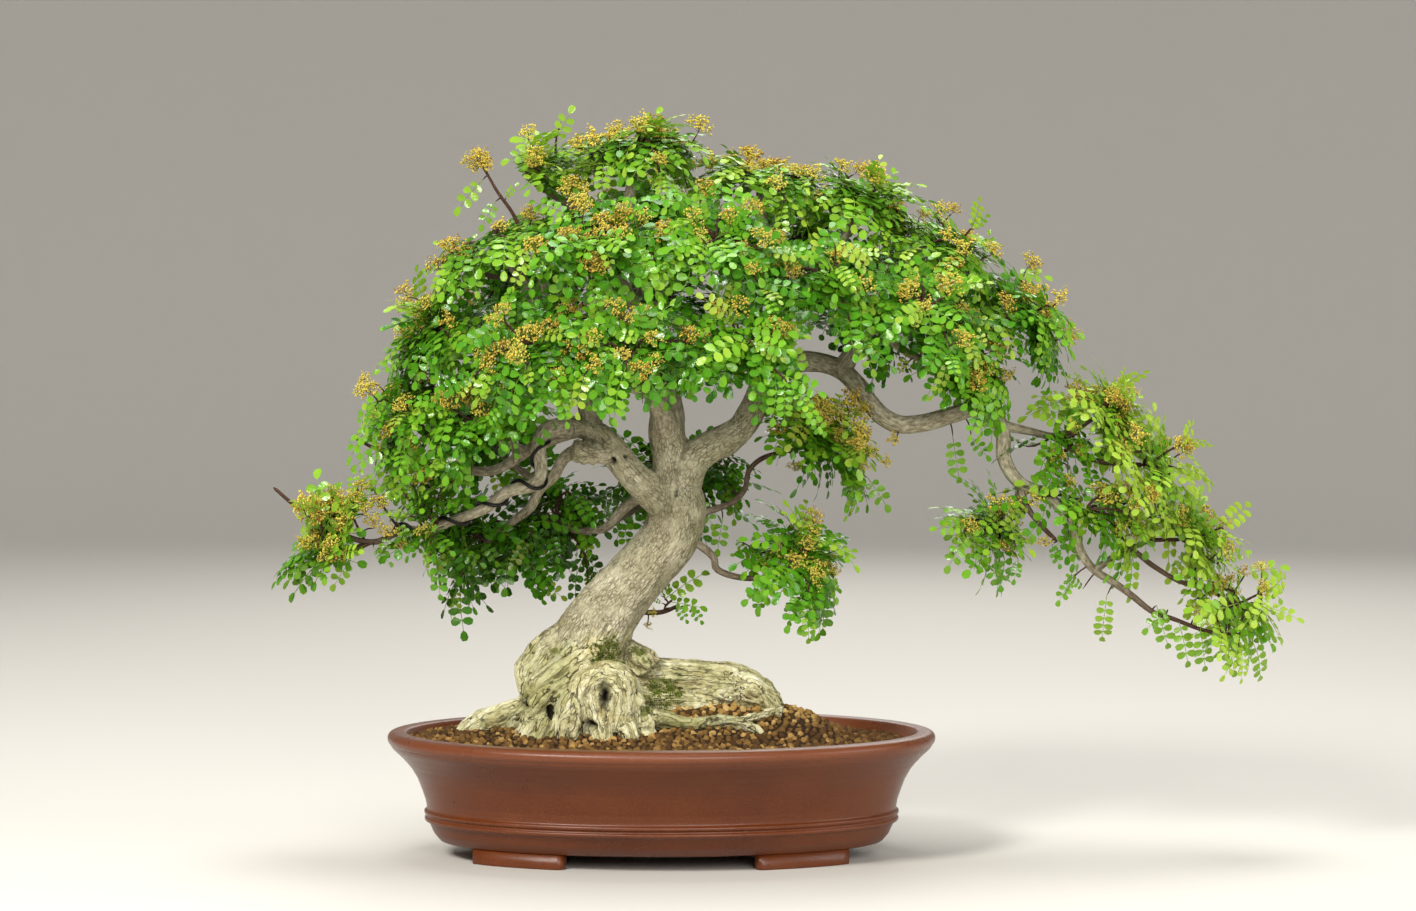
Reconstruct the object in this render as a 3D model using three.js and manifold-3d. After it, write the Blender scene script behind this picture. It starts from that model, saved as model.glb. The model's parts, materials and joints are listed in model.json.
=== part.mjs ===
// A sichuan pepper bonsai in its unglazed oval pot: a leaning trunk with spreading surface roots,
// heavy limbs, thinner branches, one of them wired, and a weeping canopy of foliage pads.
// Millimetres, +Z up, +Y away from the front. While it is built, the pot is centred on X = Y = 0.
import * as THREE from "three";
import { mergeVertices } from "three/addons/utils/BufferGeometryUtils.js";
import Module from "manifold-3d";

const wasm = await Module();
wasm.setup();

// Driving dimensions
const seatGap = 0.35; // between any two pieces that touch
const potLength = 438.8; // over the rim
const potDepth = 300;
const potHeight = 100.5;
const wall = 9;
const rimWidth = 14;
const footHeight = 11;
const footInnerX = 74;
const footOuterX = 149;
const footWidth = 17;
const floorTop = 20;
const drainX = 85;
const drainRadius = 11;
const meshSide = 33;
const meshThickness = 1;
const clipRadius = 0.6;
const soilEdgeTop = 95;
const padThickness = 8;
const padClearance = 2; // what a pad leaves free round itself, for the pads beside it
const wireRadius = 1.5;
const wireTurns = 5;
const heavyRadius = 8; // limbs thicker than this are cut finer

const material = (color, roughness) =>
  new THREE.MeshStandardMaterial({ color, roughness, metalness: 0 });
const clay = material(0x69391f, 0.6);
const plasticMesh = material(0x202020, 0.7);
const aluminiumWire = material(0x18181a, 0.4);
const akadama = material(0x8c5e34, 0.95);
const bark = material(0xb0a488, 0.85);
const mossGreen = material(0x6f7f2e, 1);
const leafGreen = material(0x4c9a24, 0.45);
const flowerOchre = material(0xc2952f, 0.8);

// A closed geometry as a solid that can be joined and cut.
function solidOf(geometry) {
  const bare = new THREE.BufferGeometry();
  bare.setAttribute("position", geometry.getAttribute("position"));
  if (geometry.index) bare.setIndex(geometry.index);
  const merged = mergeVertices(bare, 1e-3);
  const triVerts = new Uint32Array(merged.index.array);
  const vertProperties = new Float32Array(merged.attributes.position.array);
  const made = new wasm.Manifold(new wasm.Mesh({ numProp: 3, vertProperties, triVerts }));
  if (made.volume() > 0) return made;
  for (let i = 0; i < triVerts.length; i += 3) {
    [triVerts[i + 1], triVerts[i + 2]] = [triVerts[i + 2], triVerts[i + 1]];
  }
  return new wasm.Manifold(new wasm.Mesh({ numProp: 3, vertProperties, triVerts }));
}

function geometryOf(solid) {
  const mesh = solid.getMesh();
  const positions = new Float32Array(mesh.numVert * 3);
  for (let i = 0; i < mesh.numVert; i++) {
    positions.set(mesh.vertProperties.subarray(i * mesh.numProp, i * mesh.numProp + 3), i * 3);
  }
  const geometry = new THREE.BufferGeometry();
  geometry.setAttribute("position", new THREE.BufferAttribute(positions, 3));
  geometry.setIndex(new THREE.BufferAttribute(mesh.triVerts, 1));
  geometry.computeVertexNormals();
  return geometry;
}

const joined = (solids) => solids.reduce((all, one) => all.add(one));

// The same shape with each vertex moved by a function of its place.
function moved(geometry, move) {
  const position = geometry.getAttribute("position");
  const point = new THREE.Vector3();
  for (let i = 0; i < position.count; i++) {
    point.fromBufferAttribute(position, i);
    move(point, i);
    position.setXYZ(i, point.x, point.y, point.z);
  }
  return geometry;
}

// Stacked ovals: each row is [half length, half depth, height]. Rows run from the axis to the axis.
function ovalLoft(rows, segments) {
  const profile = rows.map(([halfX]) => new THREE.Vector2(halfX > 0 ? 1 : 0, 0));
  return moved(new THREE.LatheGeometry(profile, segments), (point, i) => {
    const [halfX, halfY, height] = rows[i % rows.length];
    point.set(point.x * halfX, point.z * halfY, height);
  });
}

// A tapering, bending limb. Each point is [x, y, z, radius].
function limb(points, extra, sides, spacing) {
  const route = new THREE.CatmullRomCurve3(
    points.map(([x, y, z]) => new THREE.Vector3(x, y, z)),
    false,
    "centripetal",
  );
  const length = route.getLength();
  const steps = Math.max(2, Math.round(length / spacing));
  const radii = points.map((p) => p[3]);
  const frames = route.computeFrenetFrames(steps, false);
  const profile = [new THREE.Vector2(0, 0)];
  for (let i = 0; i <= steps; i++) profile.push(new THREE.Vector2(1, i));
  profile.push(new THREE.Vector2(0, steps));
  const rows = profile.length;
  return moved(new THREE.LatheGeometry(profile, sides), (point, i) => {
    const row = i % rows;
    const step = Math.min(steps, Math.max(0, row - 1));
    const along = step / steps;
    const place = route.getUtoTmapping(along) * (radii.length - 1);
    const before = Math.min(radii.length - 2, Math.floor(place));
    const radius = THREE.MathUtils.lerp(radii[before], radii[before + 1], place - before) + extra;
    const across = frames.normals[step].clone().multiplyScalar(point.x * radius);
    const beside = frames.binormals[step].clone().multiplyScalar(point.z * radius);
    point.copy(route.getPointAt(along)).add(across).add(beside);
    const endPush = step === 0 ? -extra : step === steps ? extra : 0;
    point.addScaledVector(frames.tangents[step], endPush);
  });
}

function lump(x, y, z, halfX, halfY, halfZ, extra = 0) {
  const ball = new THREE.SphereGeometry(1, 12, 8);
  ball.scale(halfX + extra, halfY + extra, halfZ + extra);
  ball.translate(x, y, z);
  return ball;
}

// Pot

// The oval's depth narrows faster than its length below the rim.
const depthNarrowing = 1.32;
const depthOf = (halfX) => potDepth / 2 - depthNarrowing * (potLength / 2 - halfX);

function makePot() {
  const rim = potLength / 2;
  const outside = [
    [172, footHeight],
    [177.6, 13],
    [185.4, 23.6],
    [187.8, 28],
    [190.4, 29.2],
    [190.4, 37.2],
    [188.6, 38.6],
    [192.4, 54],
    [198.2, 68],
    [208.3, 80],
    [217.2, 90],
    [rim, 92],
    [rim, 99],
    [rim - 1.6, potHeight],
    [rim - rimWidth, potHeight],
  ];
  const rows = outside.map(([halfX, height]) => [halfX, depthOf(halfX), height]);
  const inside = [
    [rim - rimWidth - 1.4, 99],
    [200, 86],
    [188, 69],
    [181, 50],
    [176, 28],
    [168, floorTop],
  ];
  rows.push(...inside.map(([halfX, height]) => [halfX, depthOf(halfX + wall) - wall, height]));
  rows.unshift([0, 0, footHeight]);
  rows.push([0, 0, floorTop]);
  let pot = solidOf(ovalLoft(rows, 44));
  for (const side of [-1, 1]) {
    const throughFloor = 3 * wall;
    const drain = new THREE.CylinderGeometry(drainRadius, drainRadius, throughFloor, 20);
    drain.rotateX(Math.PI / 2);
    drain.translate(side * drainX, 0, (footHeight + floorTop) / 2);
    pot = pot.subtract(solidOf(drain));
    for (const front of [-1, 1]) pot = pot.add(solidOf(footGeometry(side, front)));
  }
  return pot;
}

// One foot: a slab that follows the oval, with a rounded end towards the middle.
function footGeometry(side, front) {
  const halfX = 176.5;
  const halfY = depthOf(halfX);
  const arcAt = (x, inset) => {
    const a = halfX - inset;
    const b = halfY - inset;
    return new THREE.Vector2(side * x, front * b * Math.sqrt(1 - (x / a) ** 2));
  };
  const outline = [];
  const steps = 7;
  const round = 6;
  for (let i = 0; i <= steps; i++) {
    outline.push(arcAt(THREE.MathUtils.lerp(footInnerX + round, footOuterX, i / steps), 0));
  }
  for (let i = steps; i >= 0; i--) {
    outline.push(arcAt(THREE.MathUtils.lerp(footInnerX + round, footOuterX, i / steps), footWidth));
  }
  outline.push(arcAt(footInnerX, footWidth - round));
  outline.push(arcAt(footInnerX, round));
  return new THREE.ExtrudeGeometry(new THREE.Shape(outline), {
    depth: footHeight + 1,
    bevelEnabled: false,
  });
}

// Drainage: a plastic screen over each hole, held by a bent wire clip.
function makeDrainMesh(x) {
  const middle = floorTop + seatGap + meshThickness / 2;
  const screen = new THREE.BoxGeometry(meshSide, meshSide, meshThickness);
  const pitch = 6;
  const openingSide = 4;
  const openings = [];
  for (let i = -1; i <= 1; i++) {
    for (let j = -1; j <= 1; j++) {
      const opening = new THREE.BoxGeometry(openingSide, openingSide, 3 * meshThickness);
      opening.translate(i * pitch, j * pitch, 0);
      openings.push(solidOf(opening));
    }
  }
  return solidOf(screen).subtract(joined(openings)).translate([x, 0, middle]);
}

function makeClip(x) {
  const legX = 6;
  const endX = 17;
  const under = footHeight - seatGap - clipRadius;
  const over = floorTop + meshThickness + 2 * seatGap + clipRadius;
  const route = new THREE.CurvePath();
  const corners = [
    [-endX, under],
    [-legX, under],
    [-legX, over],
    [legX, over],
    [legX, under],
    [endX, under],
  ].map(([alongX, z]) => new THREE.Vector3(x + alongX, 0, z));
  const bend = 1.5;
  let from = corners[0];
  for (let i = 1; i < corners.length - 1; i++) {
    const corner = corners[i];
    const into = corner.clone().lerp(from, bend / corner.distanceTo(from));
    const out = corner.clone().lerp(corners[i + 1], bend / corner.distanceTo(corners[i + 1]));
    route.add(new THREE.LineCurve3(from, into));
    route.add(new THREE.QuadraticBezierCurve3(into, corner, out));
    from = out;
  }
  route.add(new THREE.LineCurve3(from, corners.at(-1)));
  return solidOf(wireGeometry(route, clipRadius, 24, 5));
}

function wireGeometry(route, radius, steps, sides) {
  const section = new THREE.Shape();
  for (let i = 0; i < sides; i++) {
    const angle = (2 * Math.PI * i) / sides;
    const x = radius * Math.cos(angle);
    const y = radius * Math.sin(angle);
    if (i) section.lineTo(x, y);
    else section.moveTo(x, y);
  }
  section.closePath();
  return new THREE.ExtrudeGeometry(section, { steps, extrudePath: route, bevelEnabled: false });
}

// Soil

// Height of the granules' surface: a heap behind the right root, and a low mound round the trunk.
function soilHeight(x, y) {
  const heap = 24 * Math.exp(-(((x - 52) / 72) ** 2) - ((y - 32) / 46) ** 2);
  const mound = 10 * Math.exp(-(((x + 62) / 80) ** 2) - (y / 60) ** 2);
  return soilEdgeTop + heap + mound;
}

function makeSoil() {
  const inset = wall + 2 * seatGap;
  const rows = [
    [0, 0, floorTop + seatGap],
    [167.6, 0, floorTop + seatGap],
    [175.4, 0, 28],
    [180.5, 0, 50.1],
    [187.4, 0, 69.2],
    [199.4, 0, 86.2],
    [202, 0, soilEdgeTop],
  ];
  for (const row of rows) row[1] = row[0] ? depthOf(row[0] + inset) - inset : 0;
  const topRow = rows.length - 1;
  const [rimX, rimY, edge] = rows[topRow];
  for (const share of [0.86, 0.7, 0.54, 0.38, 0.2, 0]) {
    rows.push([rimX * share, rimY * share, edge]);
  }
  const body = moved(ovalLoft(rows, 32), (point, i) => {
    if (i % rows.length > topRow) point.z = soilHeight(point.x, point.y);
  });
  let soil = solidOf(body);
  const recessSide = meshSide + 1;
  const recessDepth = 7;
  for (const x of [-drainX, drainX]) {
    const recess = new THREE.BoxGeometry(recessSide, recessSide, recessDepth);
    recess.translate(x, 0, floorTop);
    soil = soil.subtract(solidOf(recess));
  }
  return soil;
}

// Trunk, surface roots and heavy limbs: one grown piece.
const trunkLimbs = [
  // bole
  [[-76, 2, 62, 26], [-78, 2, 92, 33], [-74, 0, 120, 36], [-69, 0, 148, 34], [-62, 0, 166, 31],
    [-46, 0, 193, 26.5], [-25, 0, 218, 24], [-8, 0, 238, 23.5], [5, 0, 254, 23.5],
    [12.5, 0, 270, 24], [15, 0, 288, 24.5], [14, 0, 306, 21]],
  // central leader
  [[13, 0, 298, 20], [9, 0, 318, 16.5], [6, 0, 334, 15], [5, 0, 350, 15], [4, 0, 362, 14]],
  // left limb
  [[8, -4, 280, 17], [-5, -6, 290, 14.5], [-15.5, -8, 299, 13.5], [-27, -10, 311, 13],
    [-36, -10, 322, 12.5], [-43, -10, 331, 11.5], [-51, -10, 338, 10.5], [-61, -9, 343, 9.5],
    [-71, -8, 345, 8.5], [-81, -8, 341, 7.5]],
  // cut stub
  [[-38, -12, 324, 9], [-50, -18, 324, 9.5], [-58, -21, 325, 9.8], [-70, -24, 326.5, 9.2]],
  // right limb
  [[13, 0, 303, 18], [20, -2, 318, 14], [35, -4, 326, 13], [49, -4, 333, 12.5],
    [63, -2, 342, 12], [71, 0, 354, 11.5], [77, 4, 366, 11], [82, 10, 378, 10.5]],
  // left buttress and surface roots
  [[-84, -4, 152, 20], [-99, -12, 132, 18], [-104, -18, 110, 14], [-108, -22, 90, 9]],
  [[-106, -12, 124, 12], [-122, -14, 121, 9], [-137, -16, 115, 7.5], [-150, -18, 108, 6],
    [-160, -20, 97, 4]],
  [[-84, -24, 118, 13], [-90, -40, 108, 9], [-96, -56, 96, 6]],
  // right root log
  [[-44, 12, 150, 21], [-18, 18, 142, 19], [5, 20, 139, 18.5], [30, 20, 138, 17.5],
    [55, 18, 137, 16.5], [80, 16, 130, 14], [96, 14, 119, 11]],
  // stub over the root's crotch
  [[-32, 10, 168, 10], [-16, 12, 161, 9], [-6, 13, 150, 8]],
  // small wavy surface root, and its fork
  [[-20, -14, 116, 9], [2, -16, 113, 6], [24, -18, 108, 5.5], [40, -20, 108, 5.5],
    [53, -22, 110, 5], [71, -25, 107, 5], [92, -30, 98, 4]],
  [[70, -24, 108, 4.5], [84, -18, 114, 4], [97, -12, 118, 3.5]],
  // rear roots
  [[-78, 14, 128, 22], [-90, 40, 110, 12], [-104, 62, 94, 7]],
  [[-52, 18, 128, 22], [-36, 46, 112, 12], [-16, 72, 96, 7]],
];
const burl = [-46, -34, 131, 31, 23, 28];
const burlHollow = [-44, -56, 133, 3, 12, 7];

// Foliage pads: [x, y, z of the middle, half length, half depth, dome height,
// lean to the right and lean to the front in degrees].
const pads = {
  foliage_apex: [-20, 4, 562, 60, 50, 26, 0, 0],
  foliage_top_left: [-104, -10, 546, 58, 48, 26, -18, 4],
  foliage_top_right: [80, 0, 538, 56, 52, 24, 4, 0],
  foliage_top_far_right: [162, 0, 524, 52, 50, 24, 12, 0],
  foliage_shoulder: [232, 0, 486, 50, 50, 24, 24, 0],
  foliage_right_end: [292, -4, 438, 46, 50, 26, 34, 0],
  foliage_left_front_top: [-136, -42, 494, 50, 46, 26, -22, 18],
  foliage_front_left_top: [-50, -106, 496, 54, 42, 24, -6, 34],
  foliage_front_right_top: [42, -106, 498, 54, 42, 24, 4, 34],
  foliage_front_right: [128, -82, 472, 52, 46, 24, 10, 32],
  foliage_front_far_right: [206, -80, 446, 50, 42, 24, 22, 30],
  foliage_left: [-182, -14, 424, 50, 54, 26, -38, 0],
  foliage_front_left: [-100, -112, 418, 52, 40, 24, -10, 40],
  foliage_front_middle: [-24, -134, 410, 50, 38, 24, 0, 44],
  foliage_front_low_right: [64, -120, 416, 52, 38, 24, 8, 42],
  foliage_left_low: [-204, -10, 358, 46, 50, 24, -44, 0],
  foliage_front_left_low: [-146, -72, 354, 50, 42, 22, -20, 34],
  foliage_right_middle: [242, -40, 402, 48, 44, 22, 22, 24],
  foliage_rear_left: [-106, 96, 480, 56, 48, 26, -14, -34],
  foliage_rear_top: [-24, 112, 514, 56, 46, 26, 0, -36],
  foliage_rear_right: [102, 104, 496, 58, 46, 26, 8, -34],
  foliage_rear_far_right: [194, 102, 466, 56, 46, 24, 20, -32],
  foliage_rear_low_left: [-152, 88, 350, 54, 46, 24, -26, -36],
  foliage_rear_shaded: [-150, 60, 254, 50, 42, 20, -14, -12],
  foliage_rear_middle: [-88, 72, 268, 44, 42, 20, 0, -14],
  foliage_rear_inner: [6, 98, 300, 52, 42, 22, 4, -22],
  foliage_inner_right: [118, 16, 328, 56, 42, 20, 10, 4],
  foliage_low_right: [108, -14, 240, 46, 36, 18, 8, 4],
  foliage_left_tip: [-262, -34, 246, 44, 34, 16, -16, 6],
  foliage_cascade_top: [350, 2, 354, 46, 42, 20, 20, 4],
  foliage_cascade_middle: [392, -8, 318, 46, 42, 20, 26, 8],
  foliage_cascade_lower: [424, 10, 258, 44, 40, 18, 28, 0],
  foliage_cascade_inner: [258, 4, 262, 42, 36, 16, -10, 4],
  foliage_cascade_end: [458, -4, 204, 42, 34, 16, 22, 6],
};

// The turn that leans a pad, first to the front and then to the right.
function leanOf([, , , , , , leanRight, leanFront]) {
  const toFront = new THREE.Matrix4().makeRotationX(THREE.MathUtils.degToRad(leanFront));
  return new THREE.Matrix4().makeRotationY(THREE.MathUtils.degToRad(leanRight)).multiply(toFront);
}

// A point over the middle of a pad, counted from the middle of its thickness.
function overPad(name, height, radius) {
  const [x, y, z, , , dome] = pads[name];
  const point = new THREE.Vector3(0, 0, dome / 2 + height).applyMatrix4(leanOf(pads[name]));
  return [x + point.x, y + point.y, z + point.z, radius];
}

// Where a shoot ends inside the pad that it carries.
const inPad = (name, radius = 1.8) => overPad("foliage_" + name, 0, radius);

// Branches: limbs that thin into shoots, each a stem of its own.
const branches = {
  branch_crown: [
    [[4, 0, 362.5, 13.5], [0, 4, 385, 12], [-8, 6, 415, 10.5], [-14, 2, 445, 9],
      [-20, -2, 480, 7.5], [-26, 0, 515, 5.5], inPad("apex", 2.8)],
    [[-6, 6, 408, 7], [-20, -30, 440, 5.5], [-36, -76, 470, 4], inPad("front_left_top")],
    [[-13, 2, 440, 6], [10, -36, 462, 4.8], [28, -74, 476, 3.4], inPad("front_right_top")],
    [[-10, 6, 425, 6.5], [-16, 40, 458, 5], [-22, 78, 488, 3.2], inPad("rear_top")],
    [[-19, -2, 478, 6], [-60, 0, 512, 4.4], inPad("top_left")],
  ],
  branch_front: [
    [[4, -10, 343, 9], [0, -30, 358, 7.5], [-8, -60, 375, 6.5], [-16, -92, 388, 4.4],
      inPad("front_middle")],
    [[-6, -54, 372, 5.5], [-50, -82, 390, 4.4], inPad("front_left")],
    [[-10, -66, 378, 5], [28, -86, 392, 4], inPad("front_low_right")],
  ],
  branch_left_top: [
    [[-55, -8, 341, 8.5], [-62, 0, 370, 7], [-75, 2, 400, 6.5], [-92, -4, 430, 6],
      [-108, -16, 458, 5], inPad("left_front_top", 2.4)],
    [[-74, 2, 398, 5.5], [-110, 2, 408, 4.4], [-145, -8, 414, 3.2], inPad("left")],
    [[-76, 2, 402, 5.5], [-88, 46, 432, 4.2], inPad("rear_left")],
    // bare reddish shoots with a flower at the tip
    [[-112, -22, 464, 3], [-112, -44, 492, 2.4], [-120, -52, 512, 2], [-132, -54, 532, 1.7],
      [-143, -54, 548, 1.4]],
    [[-118, -24, 462, 2.6], [-143, -34, 468, 2], [-163, -36, 489, 1.4]],
  ],
  branch_left_mid: [
    [[-50, 0, 338, 6.5], [-64, 6, 341, 6], [-78, 10, 338, 5.5], [-103, 14, 327.5, 5],
      [-115, 15, 320, 4.6], [-125, 14, 313, 4.2], [-140, 10, 308, 3.8], [-156, 6, 310, 3.2],
      [-176, 0, 324, 2.6], inPad("left_low")],
    [[-108, 14, 324, 3.8], [-122, -20, 332, 3], inPad("front_left_low")],
    [[-140, 10, 308, 3], [-190, 12, 314, 2.2], [-222, 6, 323, 1.8], [-247, 2, 336, 1.4]],
  ],
  branch_wired: [
    [[-74, -12, 343, 7], [-86, -17, 344, 6.4], [-94, -21, 340, 6], [-97, -24, 328, 5.6],
      [-95.5, -26, 316, 5.4], [-96, -28, 306, 5.2], [-103, -29, 298.6, 5],
      [-115, -30, 296, 4.8], [-125, -30, 292, 4.6], [-135, -29, 283.4, 4.4],
      [-145.5, -28, 278, 4.2], [-156, -27, 274, 4], [-170, -26, 269, 3.8],
      [-182, -26, 264, 3.5], [-193, -26, 262.6, 3.3], [-204, -26, 264, 3],
      [-226, -27, 254, 2.3], [-246, -28, 257, 2.1], [-266, -29, 268, 1.9],
      [-288, -30, 281, 1.7], [-307.5, -30, 297.5, 1.3]],
    [[-230, -27, 254, 1.9], [-246, -30, 246, 1.6], [-262, -34, 240, 1.4]],
    [[-182, -26, 264, 2.4], [-184, -24, 252, 2], [-182, -22, 240, 1.6]],
  ],
  branch_left_rear: [
    [[-60, 2, 330, 5.4], [-78, 14, 319.4, 5], [-87, 19, 304, 4.6], [-98, 25, 294, 4.4],
      [-106, 31, 278.6, 4], [-117, 39, 269, 3.6], [-131, 47, 259.4, 3], [-142, 54, 250, 2.6],
      inPad("rear_shaded")],
    [[-96, 24, 296, 3.4], [-126, 48, 316, 2.8], inPad("rear_low_left")],
  ],
  branch_low_rear: [
    [[0, 8, 290, 5.4], [-20, 26, 285, 4.6], [-35.5, 35, 272, 4], [-44, 43, 262, 3.6],
      [-54, 52, 258, 3.2], [-72, 62, 258, 2.8], inPad("rear_middle")],
    [[-40, 39, 266, 3], [-20, 66, 276, 2.6], inPad("rear_inner")],
  ],
  branch_right_top: [
    [[82.2, 10.4, 379, 9.5], [88, 14, 400, 9], [92, 12, 430, 8], [88, 6, 465, 6.5],
      [82, 2, 500, 5], inPad("top_right", 2.6)],
    [[91, 12, 428, 6], [122, 2, 462, 5], [144, -2, 492, 4], inPad("top_far_right")],
    [[91, 12, 424, 6], [106, -30, 440, 4.6], inPad("front_right")],
    [[92, 12, 434, 6], [100, 50, 456, 4.4], inPad("rear_right")],
  ],
  branch_cascade: [
    [[84, 14, 380, 8], [96, 20, 390, 8.6], [112, 20, 396, 8.5], [130, 14, 395, 8],
      [145, 8, 389, 8], [157, 2, 377, 7.8], [166, -2, 364, 7.5], [178, -4, 352, 7.5],
      [191, -4, 346.6, 7.5], [212.5, -4, 348, 7], [234, -6, 354.6, 6.8], [253, -8, 359.4, 6.5],
      [267, -8, 352, 6.2], [273, -8, 338, 6], [273, -8, 322, 5.8], [279, -10, 308, 5.5],
      [289, -12, 298, 5.2], [304, -14, 292, 5], [323, -14, 275, 4.3], [330, -12, 261, 4],
      [334.5, -10, 246, 3.8], [345, -10, 231, 3.4], [362, -8, 220, 3], [377, -6, 209, 2.6],
      [394, -6, 196, 2.2], [409, -6, 191, 1.9], [437, -8, 181, 1.5], [468, -10, 178, 1.1]],
    [[272, -8, 343, 3.6], [294, -4, 341, 3.2], [317, 0, 337, 2.8],
      inPad("cascade_top")],
    [[312, 0, 337, 2.4], [346, -6, 318, 2.2], inPad("cascade_middle")],
    [[287, -12, 295, 3], [290, -18, 284, 2.6], [300, -22, 269, 2.2], [315, -24, 254, 1.8]],
    [[287, -10, 295, 2.8], [278, 0, 268, 2.4], inPad("cascade_inner")],
    [[348, -10, 230, 3], [362, -4, 240, 2.6], [375, 0, 245.8, 2.4], [394, 2, 233, 2.2],
      [416, 2, 220, 1.9], [437, 0, 215.4, 1.7], inPad("cascade_end", 1.4)],
    [[366, -3, 240, 2.6], [390, 6, 252, 2], inPad("cascade_lower")],
  ],
  branch_shoulder: [
    [[146, 9, 392, 7], [160, 8, 415, 6], [180, 2, 440, 5.5], [205, 0, 462, 4.5],
      inPad("shoulder")],
    [[184, 2, 444, 4.4], [225, 2, 440, 3.8], [262, 2, 434, 3], inPad("right_end")],
    [[166, 7, 422, 4.6], [184, -38, 432, 3.6], inPad("front_far_right")],
    [[163, 8, 418, 4.6], [178, 56, 440, 3.6], inPad("rear_far_right")],
    [[168, 6, 426, 4.2], [204, -12, 400, 3.2], inPad("right_middle")],
  ],
  shoot_trunk_right: [
    [[34, 4, 276, 2.8], [46, 6, 279, 2.5], [58, 8, 284, 2.4], [67, 10, 294, 2.3],
      [70, 10, 308, 2.2], [80, 12, 318, 2], inPad("inner_right")],
    [[58, 8, 284, 2.2], [62, 34, 286, 2], [58, 60, 290, 1.6]],
  ],
  shoot_low_right: [
    [[20, -6, 258, 3.6], [28, -8, 252, 3.2], [42, -10, 240, 3], [44, -10, 231.4, 2.8],
      [66, -12, 224, 2.4], [88, -12, 226, 2], inPad("low_right")],
  ],
  shoot_trunk_low: [
    [[-20, 6, 197, 2.4], [-12, 9, 194.6, 2.2], [2, 12, 195, 1.8], [14, 14, 200, 1.4]],
  ],
};

// Flower clusters: [x, y, z of the middle, half height].
const flowers = {
  flower_top_left_shoot: [-144, -54, 558, 9],
  flower_top: overPad("foliage_top_right", 11, 9),
  flower_inner_right: overPad("foliage_inner_right", 12, 10),
};

const mossPatches = {
  moss_crotch: [-36, -8, 168, 22, 15, 13],
  moss_right_root: [0, -2, 132, 12, 14, 13],
};

function makeWood(limbs, extra) {
  return joined(
    limbs.map((points) => {
      const heavy = points[0][3] > heavyRadius;
      return solidOf(heavy ? limb(points, extra, 11, 16) : limb(points, extra, 6, 22));
    }),
  );
}

function makeTrunk(extra) {
  const wood = makeWood(trunkLimbs, extra).add(solidOf(lump(...burl, extra)));
  return wood.subtract(solidOf(lump(...burlHollow, -extra)));
}

function makePad(sizes, clearance) {
  const [x, y, z, halfX, halfY, dome] = sizes;
  const ball = new THREE.SphereGeometry(1, 10, 7);
  const waves = x + 2 * y + 3 * z;
  const wider = 1 + clearance / halfY;
  moved(ball, (point) => {
    const [across, away, up] = [point.x, -point.z, point.y];
    const reach = Math.hypot(across, away);
    const angle = Math.atan2(away, across);
    const lobes = 1 + 0.09 * Math.sin(3 * angle + waves) + 0.06 * Math.sin(5 * angle - waves);
    const bump = 3 * reach * Math.sin(4 * angle + waves);
    point.set(
      across * halfX * lobes * wider,
      away * halfY * lobes * wider,
      dome * (0.5 - (reach * wider) ** 2) + bump * wider,
    );
    point.z += up * (padThickness / 2) + Math.sign(up) * 1.5 * clearance;
  });
  ball.applyMatrix4(leanOf(sizes));
  ball.translate(x, y, z);
  return solidOf(ball);
}

function makeFlower([x, y, z, half], extra) {
  const cluster = new THREE.IcosahedronGeometry(1, 1);
  moved(cluster, (point) => {
    const knob = 1 + 0.12 * Math.sin(7 * point.x + 5 * point.y) * Math.cos(6 * point.z);
    point.multiplyScalar(knob * half + extra);
    point.z *= 1.1;
  });
  cluster.translate(x, y, z);
  return solidOf(cluster);
}

// The training wire winds round its branch in a long spiral.
function makeWire(extra) {
  const path = branches.branch_wired[0];
  const route = new THREE.CatmullRomCurve3(
    path.map(([x, y, z]) => new THREE.Vector3(x, y, z)),
    false,
    "centripetal",
  );
  const samples = 60;
  const frames = route.computeFrenetFrames(samples, false);
  const first = 5;
  const last = 39;
  const points = [];
  for (let i = first; i <= last; i++) {
    const turn = (2 * Math.PI * wireTurns * (i - first)) / (last - first);
    const place = route.getUtoTmapping(i / samples) * (path.length - 1);
    const reach = path[Math.floor(place)][3] + wireRadius + 2 * seatGap;
    const spot = route.getPointAt(i / samples);
    spot.addScaledVector(frames.normals[i], reach * Math.cos(turn));
    spot.addScaledVector(frames.binormals[i], reach * Math.sin(turn));
    points.push(spot);
  }
  const spiral = new THREE.CatmullRomCurve3(points, false, "centripetal");
  return solidOf(wireGeometry(spiral, wireRadius + extra, 46, 6));
}

// Each later piece is cut back from the earlier ones that it meets, so that touching pieces
// keep the seat gap, and only its largest body is kept.
const bonsai = new THREE.Group();
bonsai.name = "sichuan_pepper_bonsai";
const placed = [];

function boxesMeet(a, b) {
  return [0, 1, 2].every((k) => a.min[k] <= b.max[k] && b.min[k] <= a.max[k]);
}

function place(name, make, finish, clearance = seatGap) {
  let solid = make(0);
  for (const earlier of placed) {
    if (boxesMeet(earlier.boundingBox(), solid.boundingBox())) solid = solid.subtract(earlier);
  }
  const bodies = solid.decompose().sort((a, b) => b.volume() - a.volume());
  const mesh = new THREE.Mesh(geometryOf(bodies[0]), finish);
  mesh.name = name;
  bonsai.add(mesh);
  placed.push(make(clearance));
}

function placeAlone(name, solid, finish) {
  const mesh = new THREE.Mesh(geometryOf(solid), finish);
  mesh.name = name;
  bonsai.add(mesh);
}

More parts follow.
